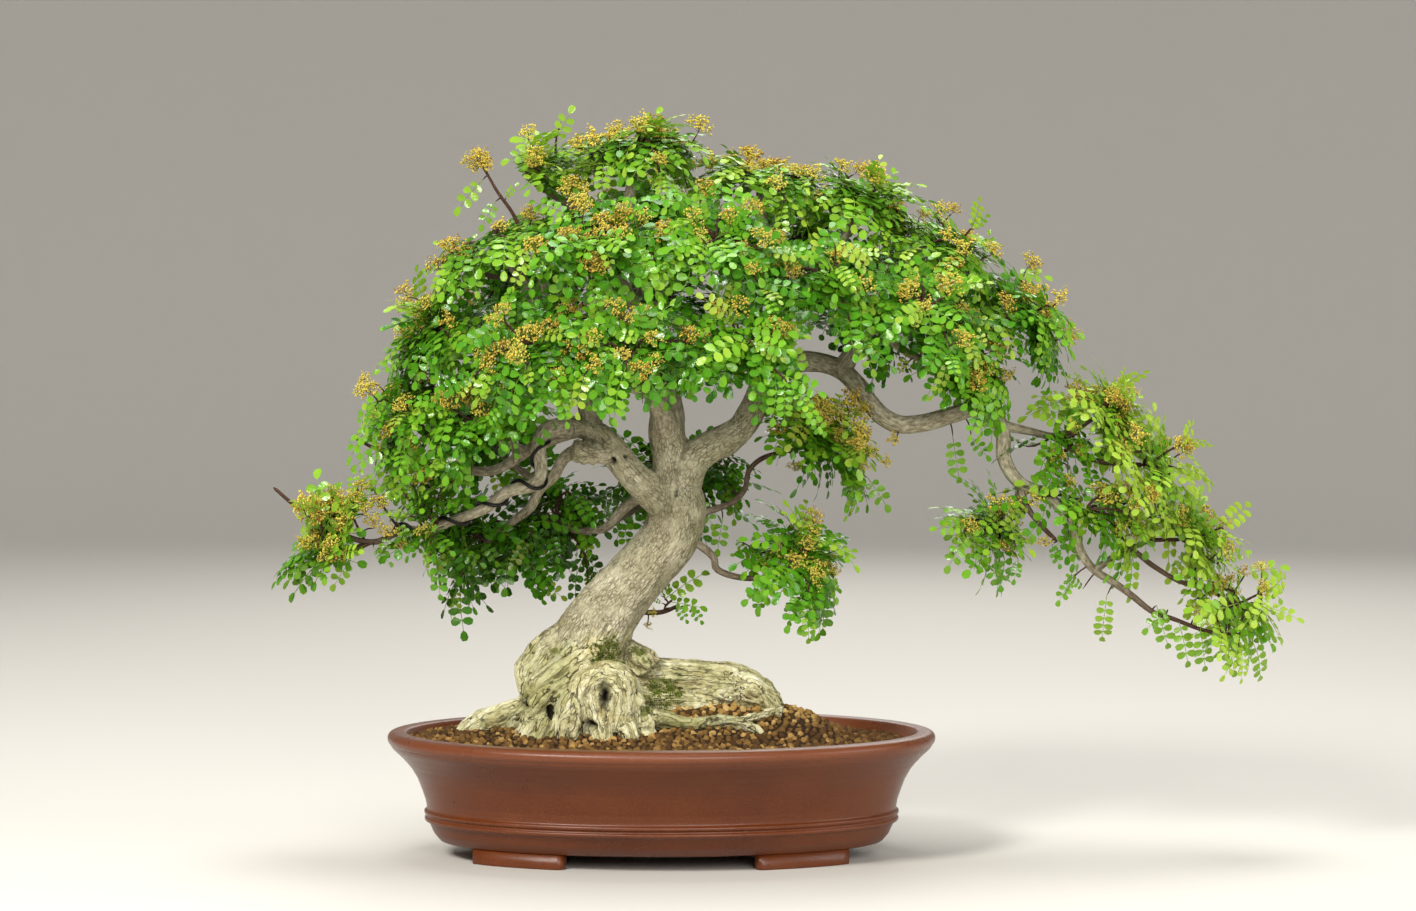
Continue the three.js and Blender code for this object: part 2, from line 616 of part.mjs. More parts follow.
placeAlone("pot", makePot(), clay);
for (const [side, x] of [["left", -drainX], ["right", drainX]]) {
  placeAlone("drain_mesh_" + side, makeDrainMesh(x), plasticMesh);
  placeAlone("drain_clip_" + side, makeClip(x), aluminiumWire);
}
place("trunk", makeTrunk, bark);
for (const [name, sizes] of Object.entries(mossPatches)) {
  place(name, (extra) => solidOf(lump(...sizes, extra)), mossGreen);
}
place("soil", makeSoil, akadama);
for (const [name, limbs] of Object.entries(branches)) {
  place(name, (extra) => makeWood(limbs, extra), bark);
}
place("training_wire", makeWire, aluminiumWire);
for (const [name, sizes] of Object.entries(flowers)) {
  place(name, (extra) => makeFlower(sizes, extra), flowerOchre);
}
for (const [name, sizes] of Object.entries(pads)) {
  place(name, (extra) => makePad(sizes, extra), leafGreen, padClearance);
}

// The origin goes to the middle of the whole bonsai's box, on the surface it stands on.
const box = new THREE.Box3().setFromObject(bonsai);
const part = new THREE.Group();
part.add(bonsai);
bonsai.position.set(-(box.min.x + box.max.x) / 2, -(box.min.y + box.max.y) / 2, -box.min.z);

export default part;
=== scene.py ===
# Looks of the sichuan pepper bonsai. All points are millimetres from the middle of the pot's foot.
import json
import math
import random

import bpy
import numpy as np
from mathutils import Matrix, Vector

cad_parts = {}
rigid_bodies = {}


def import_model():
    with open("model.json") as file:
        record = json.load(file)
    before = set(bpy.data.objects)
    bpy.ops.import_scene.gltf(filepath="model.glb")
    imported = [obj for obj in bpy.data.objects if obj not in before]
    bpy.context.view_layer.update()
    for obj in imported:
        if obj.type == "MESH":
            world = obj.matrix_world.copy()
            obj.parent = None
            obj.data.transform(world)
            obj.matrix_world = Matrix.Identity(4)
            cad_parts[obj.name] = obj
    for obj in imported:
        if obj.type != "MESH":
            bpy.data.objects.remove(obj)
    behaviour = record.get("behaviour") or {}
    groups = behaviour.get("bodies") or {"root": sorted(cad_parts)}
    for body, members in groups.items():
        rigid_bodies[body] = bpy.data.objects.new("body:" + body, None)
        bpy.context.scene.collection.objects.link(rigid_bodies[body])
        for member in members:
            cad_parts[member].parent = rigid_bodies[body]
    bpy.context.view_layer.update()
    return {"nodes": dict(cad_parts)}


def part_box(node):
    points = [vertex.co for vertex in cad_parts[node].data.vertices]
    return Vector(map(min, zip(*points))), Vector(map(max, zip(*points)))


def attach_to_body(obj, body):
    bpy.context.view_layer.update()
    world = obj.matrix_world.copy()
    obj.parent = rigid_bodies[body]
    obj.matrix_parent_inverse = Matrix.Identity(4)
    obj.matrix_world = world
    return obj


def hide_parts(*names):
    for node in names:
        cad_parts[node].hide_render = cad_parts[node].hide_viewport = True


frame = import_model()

mm = 0.001
potLow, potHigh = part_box("pot")
potMiddle = np.array([(potLow[0] + potHigh[0]) / 2, (potLow[1] + potHigh[1]) / 2, 0.0])


# Small helpers

def unit(vector):
    length = np.linalg.norm(vector)
    return vector / length if length > 1e-9 else np.array([0.0, 0.0, 1.0])


def boxOf(node):
    low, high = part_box(node)
    low, high = np.array(low), np.array(high)
    return ((low + high) / 2 - potMiddle) / mm, (high - low) / 2 / mm


def seat(node, radius):
    # a limb's end inside the clump that it carries
    middle, _ = boxOf("foliage_" + node)
    return [middle[0], middle[1], middle[2] + 2, radius]


def latticeNoise(points, seed=0):
    # smooth noise from 0 to 1 at each row of points
    base = np.floor(points).astype(np.int64)
    inside = points - base
    blend = inside * inside * (3 - 2 * inside)
    total = np.zeros(len(points))
    for corner in range(8):
        offset = np.array([corner & 1, corner >> 1 & 1, corner >> 2 & 1])
        cell = base + offset
        mixed = cell[:, 0] * 73856093 ^ cell[:, 1] * 19349663 ^ cell[:, 2] * 83492791 ^ (seed * 2654435)
        mixed = mixed & 0x7FFFFFFF
        mixed = (mixed * (mixed * 15731 % 789221 + 1376312589)) & 0x7FFFFFFF
        share = np.where(offset, blend, 1 - blend).prod(axis=1)
        total += share * (mixed / 0x7FFFFFFF)
    return total


def fractalNoise(points, octaves=3, seed=0):
    total = np.zeros(len(points))
    weight = 0.0
    for octave in range(octaves):
        part = 0.5 ** octave
        total += part * latticeNoise(points * 2 ** octave + 17.3 * octave, seed + octave)
        weight += part
    return total / weight


def smoothStep(low, high, values):
    share = np.clip((values - low) / (high - low), 0, 1)
    return share * share * (3 - 2 * share)


def ringAt(halfX, halfY, height, sides, middleX=0.0):
    # the corners of one oval ring
    turns = [2 * math.pi * k / sides for k in range(sides)]
    return [(middleX + halfX * math.cos(turn), halfY * math.sin(turn), height) for turn in turns]


def between(first, second, sides):
    # the faces between two rings that start at these corners
    return [[first + k, first + (k + 1) % sides, second + (k + 1) % sides, second + k]
            for k in range(sides)]


def wallOf(rings, sides):
    return [face for ring in range(rings - 1)
            for face in between(ring * sides, (ring + 1) * sides, sides)]


def cubeBall(cuts):
    # a cube with cuts x cuts squares on each side, blown up to a ball
    found = {}
    faces = []

    def corner(spot):
        key = tuple(np.round(spot, 5))
        return found.setdefault(key, len(found))

    for axis in range(3):
        for end in (-1, 1):
            for i in range(cuts):
                for j in range(cuts):
                    square = []
                    for di, dj in ((0, 0), (1, 0), (1, 1), (0, 1)):
                        spot = np.zeros(3)
                        spot[axis] = end
                        spot[(axis + 1) % 3] = -1 + 2 * (i + di) / cuts
                        spot[(axis + 2) % 3] = -1 + 2 * (j + dj) / cuts
                        square.append(corner(spot))
                    faces.append(square if end > 0 else square[::-1])
    points = np.array(list(found))
    return points / np.linalg.norm(points, axis=1)[:, None], faces


def setRows(mesh, name, rows):
    # one named number or vector for each vertex
    kind = "FLOAT_VECTOR" if rows.ndim == 2 else "FLOAT"
    held = mesh.attributes.get(name) or mesh.attributes.new(name, kind, "POINT")
    held.data.foreach_set("vector" if rows.ndim == 2 else "value", rows.ravel())


class Part:
    # vertices in millimetres, faces and named attributes gathered for one mesh
    def __init__(self):
        self.points = []
        self.faces = []
        self.values = {}
        self.count = 0

    def add(self, points, faces, **values):
        self.points.append(np.asarray(points, dtype=float))
        self.faces += [[corner + self.count for corner in face] for face in faces]
        for name, rows in values.items():
            self.values.setdefault(name, []).append(np.asarray(rows, dtype=float))
        self.count += len(points)

    def mesh(self, name, smooth=True, local=False):
        points = np.concatenate(self.points) * mm
        if not local:
            points = points + potMiddle
        made = bpy.data.meshes.new(name)
        made.from_pydata(points.tolist(), [], self.faces)
        for key, rows in self.values.items():
            setRows(made, key, np.concatenate(rows))
        made.polygons.foreach_set("use_smooth", [smooth] * len(made.polygons))
        made.update()
        return made


def makeObject(mesh, finish=None):
    made = bpy.data.objects.new(mesh.name, mesh)
    bpy.context.scene.collection.objects.link(made)
    if finish:
        mesh.materials.clear()
        mesh.materials.append(finish)
    return made


def settled(source, name, smooth=None):
    # the source with its modifiers applied, as a plain mesh object
    graph = bpy.context.evaluated_depsgraph_get()
    mesh = bpy.data.meshes.new_from_object(source.evaluated_get(graph), depsgraph=graph)
    mesh.name = name
    if smooth is not None:
        mesh.polygons.foreach_set("use_smooth", [smooth] * len(mesh.polygons))
    old = source.data
    bpy.data.objects.remove(source)
    if old.users == 0:
        bpy.data.meshes.remove(old)
    made = bpy.data.objects.new(name, mesh)
    bpy.context.scene.collection.objects.link(made)
    return made


def inCamel(first, words):
    return first + "".join(word.capitalize() for word in words)


def gathered(name, count, makeShape):
    shapes = bpy.data.collections.new(name)
    for number in range(count):
        shapes.objects.link(makeShape(number))
    return shapes


def emptied(shapes):
    # the shapes that were set on spots are not pieces themselves
    for made in list(shapes.objects):
        bpy.data.objects.remove(made)


def attach(piece, slotName, *nodes):
    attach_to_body(piece, "root")
    if nodes:
        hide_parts(*nodes)
    return piece


# Node trees

class Link:
    # an output that arithmetic can be written on
    def __init__(self, graph, socket):
        self.graph = graph
        self.socket = socket

    def math(self, operation, first, second=0.0):
        return self.graph.node("ShaderNodeMath", {"operation": operation}, {0: first, 1: second})

    def __add__(self, other):
        return self.math("ADD", self, other)

    def __radd__(self, other):
        return self.math("ADD", other, self)

    def __sub__(self, other):
        return self.math("SUBTRACT", self, other)

    def __rsub__(self, other):
        return self.math("SUBTRACT", other, self)

    def __mul__(self, other):
        return self.math("MULTIPLY", self, other)

    def __rmul__(self, other):
        return self.math("MULTIPLY", other, self)

    def __truediv__(self, other):
        return self.math("DIVIDE", self, other)

    def __pow__(self, other):
        return self.math("POWER", self, other)


class Graph:
    def __init__(self, tree):
        self.tree = tree

    def node(self, kind, settings=None, inputs=None, output=0):
        made = self.tree.nodes.new(kind)
        for name, value in (settings or {}).items():
            if name == "stops":
                self.setStops(made.color_ramp, value)
            else:
                setattr(made, name, value)
        for key, value in (inputs or {}).items():
            if isinstance(value, Link):
                self.tree.links.new(value.socket, made.inputs[key])
            else:
                made.inputs[key].default_value = value
        return Link(self, made.outputs[output]) if len(made.outputs) else made

    def setStops(self, ramp, stops):
        while len(ramp.elements) < len(stops):
            ramp.elements.new(1.0)
        for element, (place, colour) in zip(ramp.elements, stops):
            element.position = place
            element.color = colour

    def attribute(self, name, output="Fac"):
        return self.node("ShaderNodeAttribute", {"attribute_name": name}, output=output)

    def place(self):
        return self.node("ShaderNodeTexCoord", output="Object")

    def axis(self, vector, number):
        return self.node("ShaderNodeSeparateXYZ", None, {0: vector}, number)

    def ramp(self, value, *stops):
        # stops are a place and a colour from 0 to 255
        stops = [(place, rgb(*colour)) for place, *colour in stops]
        return self.node("ShaderNodeValToRGB", {"stops": stops}, {"Fac": value})

    def stretched(self, vector, factors):
        return self.node("ShaderNodeVectorMath", {"operation": "MULTIPLY"}, {0: vector, 1: factors})

    def noise(self, vector, scale, detail=3.0, roughness=0.5, distortion=0.0):
        return self.node("ShaderNodeTexNoise", None, {
            "Vector": vector, "Scale": scale, "Detail": detail,
            "Roughness": roughness, "Distortion": distortion})

    def cells(self, vector, scale, feature="DISTANCE_TO_EDGE", output="Distance"):
        return self.node("ShaderNodeTexVoronoi", {"feature": feature}, {
            "Vector": vector, "Scale": scale}, output)

    def step(self, value, low, high, toLow=0.0, toHigh=1.0):
        return self.node("ShaderNodeMapRange", {"interpolation_type": "SMOOTHSTEP"}, {
            "Value": value, "From Min": low, "From Max": high, "To Min": toLow, "To Max": toHigh})

    # 6 and 7 are the colours of a mix node, and 2 is the colour that it gives
    def mix(self, factor, first, second, blend="MIX"):
        return self.node("ShaderNodeMix", {"data_type": "RGBA", "blend_type": blend}, {
            0: factor, 6: first, 7: second}, 2)

    def bump(self, height, strength, distance, below=None):
        inputs = {"Height": height, "Strength": strength, "Distance": distance}
        if below:
            inputs["Normal"] = below
        return self.node("ShaderNodeBump", None, inputs)


def finishOf(name, build):
    # build gets the graph and returns the values and links of the Principled sockets
    made = bpy.data.materials.new(name)
    made.use_nodes = True
    tree = made.node_tree
    tree.nodes.clear()
    graph = Graph(tree)
    sockets = build(graph)
    through = sockets.pop("through", None)
    surface = graph.node("ShaderNodeBsdfPrincipled", None, sockets)
    if through:
        colour, share = through
        lit = graph.node("ShaderNodeBsdfTranslucent", None, {"Color": colour})
        surface = graph.node("ShaderNodeMixShader", None, {0: share, 1: surface, 2: lit})
    graph.node("ShaderNodeOutputMaterial", None, {"Surface": surface})
    return made


def rgb(red, green, blue):
    # a colour as seen on screen, from 0 to 255, made linear
    def linear(value):
        value /= 255
        return value / 12.92 if value <= 0.04045 else ((value + 0.055) / 1.055) ** 2.4
    return (linear(red), linear(green), linear(blue), 1.0)


# Camera, light and floor

view = {
    "distance": 3000, "height": 450.5, "sideways": 37.3,  # millimetres from the pot's middle
    "focalPixels": 3750, "imageWidth": 1416, "pitch": 2.465,  # degrees down
}


def makeCamera():
    data = bpy.data.cameras.new("viewer")
    data.sensor_width = 36
    data.lens = 36 * view["focalPixels"] / view["imageWidth"]
    camera = bpy.data.objects.new("viewer", data)
    camera.location = potMiddle + np.array([view["sideways"], -view["distance"], view["height"]]) * mm
    camera.rotation_euler = (math.radians(90 - view["pitch"]), 0, 0)
    bpy.context.scene.collection.objects.link(camera)
    bpy.context.scene.camera = camera


lamps = {
    # position in metres from the pot, size, watts and colour
    "key": ((-1.5, -2.3, 2.3), 0.9, 116, (1.0, 0.98, 0.94)),
    "front": ((0.7, -3.2, 1.3), 1.4, 56, (1.0, 0.99, 0.97)),
    "top": ((0.1, 0.3, 2.9), 1.6, 56, (1.0, 1.0, 1.0)),
    "right": ((2.6, -0.9, 1.2), 1.6, 26, (0.97, 0.98, 1.0)),
    "behind": ((0.4, 2.8, 1.7), 1.6, 18, (1.0, 0.99, 0.97)),
}


def makeLamps():
    aim = Vector(potMiddle + np.array([0.06, 0, 0.3]))
    for name, (position, size, watts, colour) in lamps.items():
        data = bpy.data.lights.new(name, "AREA")
        data.shape = "DISK"
        data.size = size
        data.energy = watts
        data.color = colour
        lamp = bpy.data.objects.new(name, data)
        lamp.location = Vector(potMiddle) + Vector(position)
        lamp.rotation_euler = (aim - lamp.location).to_track_quat("-Z", "Y").to_euler()
        bpy.context.scene.collection.objects.link(lamp)
    world = bpy.data.worlds.new("studio")
    world.use_nodes = True
    sky = world.node_tree.nodes["Background"]
    sky.inputs["Color"].default_value = (0.95, 0.97, 1.0, 1.0)
    sky.inputs["Strength"].default_value = 0.5
    bpy.context.scene.world = world
    bpy.context.scene.view_settings.view_transform = "Standard"


def makeFloor():
    # a pale bowl: flat floor, wide fillet, upright sides
    radius, fillet, top, sides = 6500, 2600, 5200, 72
    profile = [(0.01, 0), (1500, 0), (3000, 0), (radius - fillet, 0)]
    for i in range(1, 13):
        turn = math.pi / 2 * i / 12
        profile.append((radius - fillet + fillet * math.sin(turn), fillet * (1 - math.cos(turn))))
    profile.append((radius, top))
    points = [spot for reach, height in profile for spot in ringAt(reach, reach, height, sides)]
    bowl = Part()
    bowl.add(points, wallOf(len(profile), sides))
    paper = finishOf("paper", lambda graph: {"Base Color": rgb(198, 194, 186), "Roughness": 0.9})
    makeObject(bowl.mesh("floor"), paper)


makeCamera()
makeLamps()
makeFloor()
print("studio ready")


# Wood: every limb is a list of [x, y, z, radius]

def sampled(points, spacing):
    # a smooth route through the points at even steps: places, radii and distances along it
    rows = np.array(points, dtype=float)
    ends = [2 * rows[0] - rows[1]], [2 * rows[-1] - rows[-2]]
    rows = np.concatenate([ends[0], rows, ends[1]])
    rows[:, 3] = np.maximum(rows[:, 3], 0.2)
    found = []
    for i in range(1, len(rows) - 2):
        a, b, c, d = rows[i - 1:i + 3]
        knots = [0.0]
        for first, second in ((a, b), (b, c), (c, d)):
            knots.append(knots[-1] + max(math.sqrt(np.linalg.norm(second[:3] - first[:3])), 1e-3))
        t0, t1, t2, t3 = knots
        for t in np.linspace(t1, t2, 10, endpoint=False):
            ab = (t1 - t) / (t1 - t0) * a + (t - t0) / (t1 - t0) * b
            bc = (t2 - t) / (t2 - t1) * b + (t - t1) / (t2 - t1) * c
            cd = (t3 - t) / (t3 - t2) * c + (t - t2) / (t3 - t2) * d
            abc = (t2 - t) / (t2 - t0) * ab + (t - t0) / (t2 - t0) * bc
            bcd = (t3 - t) / (t3 - t1) * bc + (t - t1) / (t3 - t1) * cd
            row = (t2 - t) / (t2 - t1) * abc + (t - t1) / (t2 - t1) * bcd
            row[3] = b[3] + (c[3] - b[3]) * (t - t1) / (t2 - t1)
            found.append(row)
    found.append(rows[-2])
    found = np.array(found)
    gone = np.concatenate([[0], np.cumsum(np.linalg.norm(np.diff(found[:, :3], axis=0), axis=1))])
    steps = max(3, int(round(gone[-1] / spacing)))
    along = np.linspace(0, gone[-1], steps + 1)
    even = np.stack([np.interp(along, gone, found[:, k]) for k in range(4)], axis=1)
    return even[:, :3], even[:, 3], along


def framesAlong(places):
    # directions along, across and beside the route, without twist
    ahead = np.gradient(places, axis=0)
    ahead = ahead / np.linalg.norm(ahead, axis=1)[:, None]
    across = unit(np.cross(ahead[0], [0.31, 0.93, 0.17]))
    rows = []
    for direction in ahead:
        across = unit(across - direction * np.dot(across, direction))
        rows.append(across)
    across = np.array(rows)
    return ahead, across, np.cross(ahead, across)


def addTube(part, points, sides=12, spacing=4.0, rough=0.0, seed=0, flare=0.0, roundTip=True):
    places, radii, along = sampled(points, spacing)
    _, across, beside = framesAlong(places)
    if flare:
        radii = radii * (1 + flare * np.exp(-along / (2.2 * radii[0])))
    if roundTip:
        left = along[-1] - along
        tip = radii[-1] * 1.4
        radii = radii * np.sqrt(np.clip(1 - np.clip(1 - left / tip, 0, 0.97) ** 2, 0.05, 1))
    turns = np.arange(sides) * 2 * math.pi / sides
    ring = np.stack([np.cos(turns), np.sin(turns)], axis=1)
    local = np.concatenate([
        np.repeat(radii[:, None, None], sides, 1) * ring[None],
        np.repeat(along[:, None, None], sides, 1)], axis=2).reshape(-1, 3)
    local[:, 2] += seed * 37.0
    swell = np.ones(len(local))
    if rough:
        knots = fractalNoise(local * [0.11, 0.11, 0.045] + seed, 2, seed) - 0.5
        ridges = fractalNoise(local * [0.5, 0.5, 0.11] + seed, 2, seed + 5) - 0.5
        swell += rough * (1.1 * knots + 0.5 * ridges)
    step = np.repeat(np.arange(len(places)), sides)
    sideways = local[:, :1] * across[step] + local[:, 1:2] * beside[step]
    skin = places[step] + sideways * swell[:, None]
    faces = wallOf(len(places), sides)
    faces.append(list(range(sides))[::-1])
    faces.append([(len(places) - 1) * sides + k for k in range(sides)])
    part.add(skin, faces, barkPlace=local, thickness=np.repeat(radii, sides))
    return places, radii, along


trunkLimbs = {
    "bole": [[-77, 2, 84, 30], [-78, 2, 98, 33], [-74, 0, 120, 36], [-69, 0, 148, 34], [-62, 0, 166, 31],
             [-46, 0, 193, 26.5], [-25, 0, 218, 24], [-8, 0, 238, 23.5], [5, 0, 254, 23.5],
             [12, 0, 270, 24], [14, 0, 284, 23], [13, 0, 296, 18], [12, 0, 306, 9]],
    "leader": [[13, 0, 288, 18], [9, 0, 318, 16.5], [6, 0, 334, 15], [5, 0, 348, 14.5], [4, 1, 360, 12],
               [2, 3, 370, 8]],
    "leftLimb": [[8, -4, 276, 16], [-5, -6, 290, 14.5], [-15.5, -8, 299, 13.5], [-27, -10, 311, 13],
                 [-36, -10, 322, 12.5], [-43, -10, 331, 11.5], [-51, -10, 338, 10.5],
                 [-61, -9, 343, 9.5], [-71, -8, 345, 8.5], [-84, -9, 341, 7]],
    "cutStub": [[-38, -12, 324, 9], [-50, -18, 324, 9.5], [-58, -21, 325, 9.8], [-70, -24, 326.5, 9.2]],
    "rightLimb": [[12, 0, 286, 18], [18, -1, 304, 17], [26, -3, 319, 14.5], [37, -4, 327, 13],
                  [49, -4, 333, 12.5], [63, -2, 342, 12], [71, 0, 354, 11.5], [77, 4, 366, 11],
                  [83, 10, 382, 10]],
    "lobe": [[-72, -2, 176, 18], [-88, -8, 160, 19], [-99, -12, 148, 15.5], [-100, -14, 138, 12],
             [-96, -16, 124, 12]],
    "buttress": [[-84, -4, 150, 20], [-92, -12, 130, 18], [-98, -18, 110, 14], [-104, -22, 90, 9]],
    "leftRoot": [[-98, -10, 124, 14], [-113, -13, 117, 11.5], [-128, -16, 112, 11], [-142, -18, 106, 10],
                 [-154, -20, 98, 9], [-164, -22, 88, 7]],
    "frontRoot": [[-84, -24, 118, 13], [-92, -38, 108, 10], [-100, -52, 96, 7]],
    "rootLog": [[-44, 12, 148, 20], [-18, 18, 141, 17.5], [5, 20, 139, 16.5], [30, 20, 138, 16],
                [52, 18, 135, 15.5], [70, 16, 131, 15], [82, 15, 126, 13.5], [89, 14, 115, 11],
                [91, 14, 98, 8]],
    "underLog": [[-40, 8, 126, 15], [-8, 12, 122, 13], [22, 14, 121, 12], [46, 16, 118, 10]],
    "crotchStub": [[-32, 8, 166, 10], [-20, 4, 160, 10], [-10, 4, 150, 9]],
    "wavyRoot": [[-26, -26, 120, 10], [-8, -30, 113, 7], [8, -27, 110.5, 5.5], [24, -24, 106.5, 5.2],
                 [38, -22, 108.5, 5], [53, -22, 110, 4.6], [68, -24, 106, 4], [80, -26, 99, 3.4],
                 [90, -28, 88, 3]],
    "wavyFork": [[60, -23, 109, 4], [74, -18, 113, 3.6], [86, -12, 117, 3.6], [95, -2, 117, 4]],
    "rearRoot": [[-78, 14, 128, 22], [-90, 40, 110, 12], [-104, 62, 94, 7]],
    "rearRightRoot": [[-52, 18, 128, 22], [-36, 46, 112, 12], [-16, 72, 96, 7]],
    "upperFold": [[-54, -20, 166, 11], [-70, -26, 156, 11], [-86, -27, 146, 11], [-98, -25, 136, 11],
                  [-102, -22, 126, 9]],
    "lowerFold": [[-62, -32, 152, 8], [-76, -38, 141, 9], [-90, -39, 130, 9], [-100, -36, 120, 8],
                  [-104, -34, 106, 8]],
    "burlFlank": [[-50, -34, 150, 12], [-64, -40, 136, 13], [-72, -43, 118, 12], [-78, -46, 94, 11]],
    "burlFoot": [[-46, -44, 118, 12], [-46, -52, 108, 9], [-43, -60, 90, 7]],
    "burlToe": [[-34, -40, 118, 12], [-27, -48, 107, 9], [-20, -55, 90, 7]],
    "burlHeel": [[-26, -34, 122, 12], [-15, -37, 109, 8.5], [-6, -40, 92, 6]],
    "leftToe": [[-92, -30, 116, 12], [-103, -36, 106, 9], [-112, -42, 90, 7]],
}
burl = {"middle": [-45, -33, 125], "half": [31, 22, 34]}

trunkLook = {
    "voxel": 1.42, "melt": 4,
    "hollow": [-44, -53, 133],
    # hollows in the burl and between the roots, pushed in and painted near-black as shade: middle and
    # half sizes
    "pits": [([-44, -54, 134], [5.4, 14, 11.5]), ([-57, -56, 111], [6, 12, 4]),
             ([-87, -46, 120], [3.2, 12, 5]), ([-29, -16, 158], [4, 10, 5]),
             ([-104, -32, 124], [6, 10, 3.5]), ([-12, -34, 106], [7, 10, 4]),
             ([-38, -22, 318], [2, 8, 3]), ([12, -24, 294], [1.5, 8, 4.5]),
             ([-28, -21, 322], [1.6, 8, 1.6])],
    "eyes": [([15, -24, 282], 8), ([-28, -21, 322], 5), ([-60, -30, 196], 6)],
    "knot": [59, 2, 137],
    "rootTop": 192, "rootLow": 158,  # the bark turns rough and cracked between these heights
    "ring": 8.4, "eyeRing": 5.2,  # width of the rings in the burl and round the limb knots
    # the cut stub: middle and half sizes, width and height of its rings, and its face
    "stub": ([-55, -20, 325], [17, 15, 15]), "stubRing": 7.6, "stubRise": 1.15,
    "cutFace": [-70.5, -24, 326.5], "cutReach": 13, "cutRing": 3.4,
    # moss that stains the bark: middle and half sizes, and how dense
    "stains": [([-42, -20, 166], [21, 18, 9], 1.1), ([-78, -22, 167], [20, 14, 4], 0.75),
               ([-13, -34, 121], [8, 14, 13], 0.95), ([-18, -4, 160], [10, 14, 11], 0.9),
               ([4, 2, 134], [20, 16, 13], 0.8), ([-70, -44, 100], [22, 10, 7], 0.6)],
}


def fineBark(graph):
    # grey bark with a fine dark mesh; cream ribs and long dark fissures on the roots; hollows painted
    # near-black as shade
    local = graph.attribute("barkPlace", "Vector")
    crack = graph.attribute("crack")
    fibre = graph.attribute("fibre")
    fine = graph.attribute("fine")
    hole = graph.attribute("hole")
    mossy = graph.attribute("mossy")
    root = graph.attribute("rootness")
    place = graph.place()
    upright = graph.stretched(local, (1.0, 1.0, 0.32))
    broad = graph.noise(place, 34.0, 3.0)
    mottle = graph.noise(place, 170.0, 4.0, 0.65)
    smooth = graph.ramp(mottle * 0.5 + broad * 0.5 + fibre * 0.025, (0.3, 132, 125, 98),
                        (0.44, 166, 158, 128), (0.56, 188, 181, 152), (0.7, 212, 205, 180))
    ribs = graph.ramp(fibre * 0.05 + broad * 0.4 + mottle * 0.6, (0.26, 138, 128, 82),
                      (0.42, 186, 178, 128), (0.56, 216, 210, 166), (0.74, 236, 233, 206))
    colour = graph.mix(root, smooth, ribs)
    olive = graph.step(graph.noise(place, 24.0, 3.0), 0.46, 0.64)
    colour = graph.mix(olive * (root * 0.3 + 0.16), colour, rgb(124, 128, 62))
    tan = graph.step(graph.noise(place, 38.0, 2.0), 0.56, 0.7) * root
    colour = graph.mix(tan * 0.35, colour, rgb(172, 140, 80))
    uneven = graph.step(graph.noise(place, 75.0, 2.0), 0.32, 0.6, 0.35, 1.0)
    wavering = graph.node("ShaderNodeVectorMath", {"operation": "ADD"}, {
        0: graph.stretched(local, (1.0, 1.0, 0.42)),
        1: graph.node("ShaderNodeTexNoise", None, {
            "Vector": local, "Scale": 0.35, "Detail": 2.0}, "Color")})
    net = graph.cells(wavering, 0.42)
    lines = graph.step(net, 0.03, 0.17, 1.0, 0.0) * uneven
    colour = graph.mix(lines * (0.6 - root * 0.36), colour, rgb(80, 72, 50))
    small = graph.step(fine.math("ABSOLUTE", fine), 0.06, 0.26, 1.0, 0.0) * uneven
    colour = graph.mix(small * (root * 0.16 + 0.4), colour, rgb(88, 78, 50))
    long = graph.step(fibre.math("ABSOLUTE", fibre), 0.07, 0.3, 1.0, 0.0) * uneven
    colour = graph.mix(long * (root * 0.68 + 0.2), colour, rgb(46, 40, 20))
    colour = graph.mix(graph.step(crack, 0.2, 1.0) * 0.3, colour, rgb(70, 64, 36))
    freckle = graph.step(graph.noise(upright, 1.6, 2.0), 0.6, 0.72)
    colour = graph.mix(freckle * 0.3, colour, rgb(208, 204, 186))
    tuft = graph.noise(place, 620.0, 3.0, 0.7)
    damp = graph.step(mossy + tuft * 0.8, 0.75, 1.15)
    colour = graph.mix(damp * 0.82, colour, graph.mix(
        graph.step(tuft, 0.35, 0.7), rgb(46, 56, 14), rgb(118, 126, 44)))
    # painted shade: the hollows near-black
    colour = graph.mix(hole, colour, rgb(14, 12, 7))
    grain = graph.noise(upright, 1.1, 5.0, 0.65)
    relief = graph.bump(lines, 0.5, -0.0008)
    relief = graph.bump(long * (root * 0.7 + 0.3) + small * 0.4, 0.8, -0.0016, relief)
    relief = graph.bump(grain, 0.7, 0.0012, relief)
    return {"Base Color": colour, "Roughness": graph.step(grain, 0.3, 0.7, 0.85, 0.97),
            "Normal": relief, "Specular IOR Level": 0.15}


def youngBark(graph):
    # branches: grey where thick, red-brown where thin
    local = graph.attribute("barkPlace", "Vector")
    thick = graph.attribute("thickness")
    mottle = graph.noise(graph.stretched(local, (1.0, 1.0, 0.4)), 0.5, 4.0, 0.6)
    old = graph.ramp(mottle, (0.3, 104, 96, 76), (0.48, 146, 138, 114), (0.66, 184, 177, 154))
    fresh = graph.mix(mottle, rgb(42, 26, 21), rgb(80, 53, 40))
    colour = graph.mix(graph.step(thick, 1.5, 4.6), fresh, old)
    dots = graph.step(graph.noise(local, 1.5, 2.0), 0.62, 0.72)
    colour = graph.mix(dots * 0.35, colour, rgb(206, 194, 168))
    relief = graph.bump(mottle, 0.7, 0.0014)
    return {"Base Color": colour, "Roughness": 0.85, "Normal": relief, "Specular IOR Level": 0.2}


trunkBark = finishOf("trunkBark", fineBark)
branchBark = finishOf("branchBark", youngBark)


blockSize = 4000  # points that are compared with all samples at a time


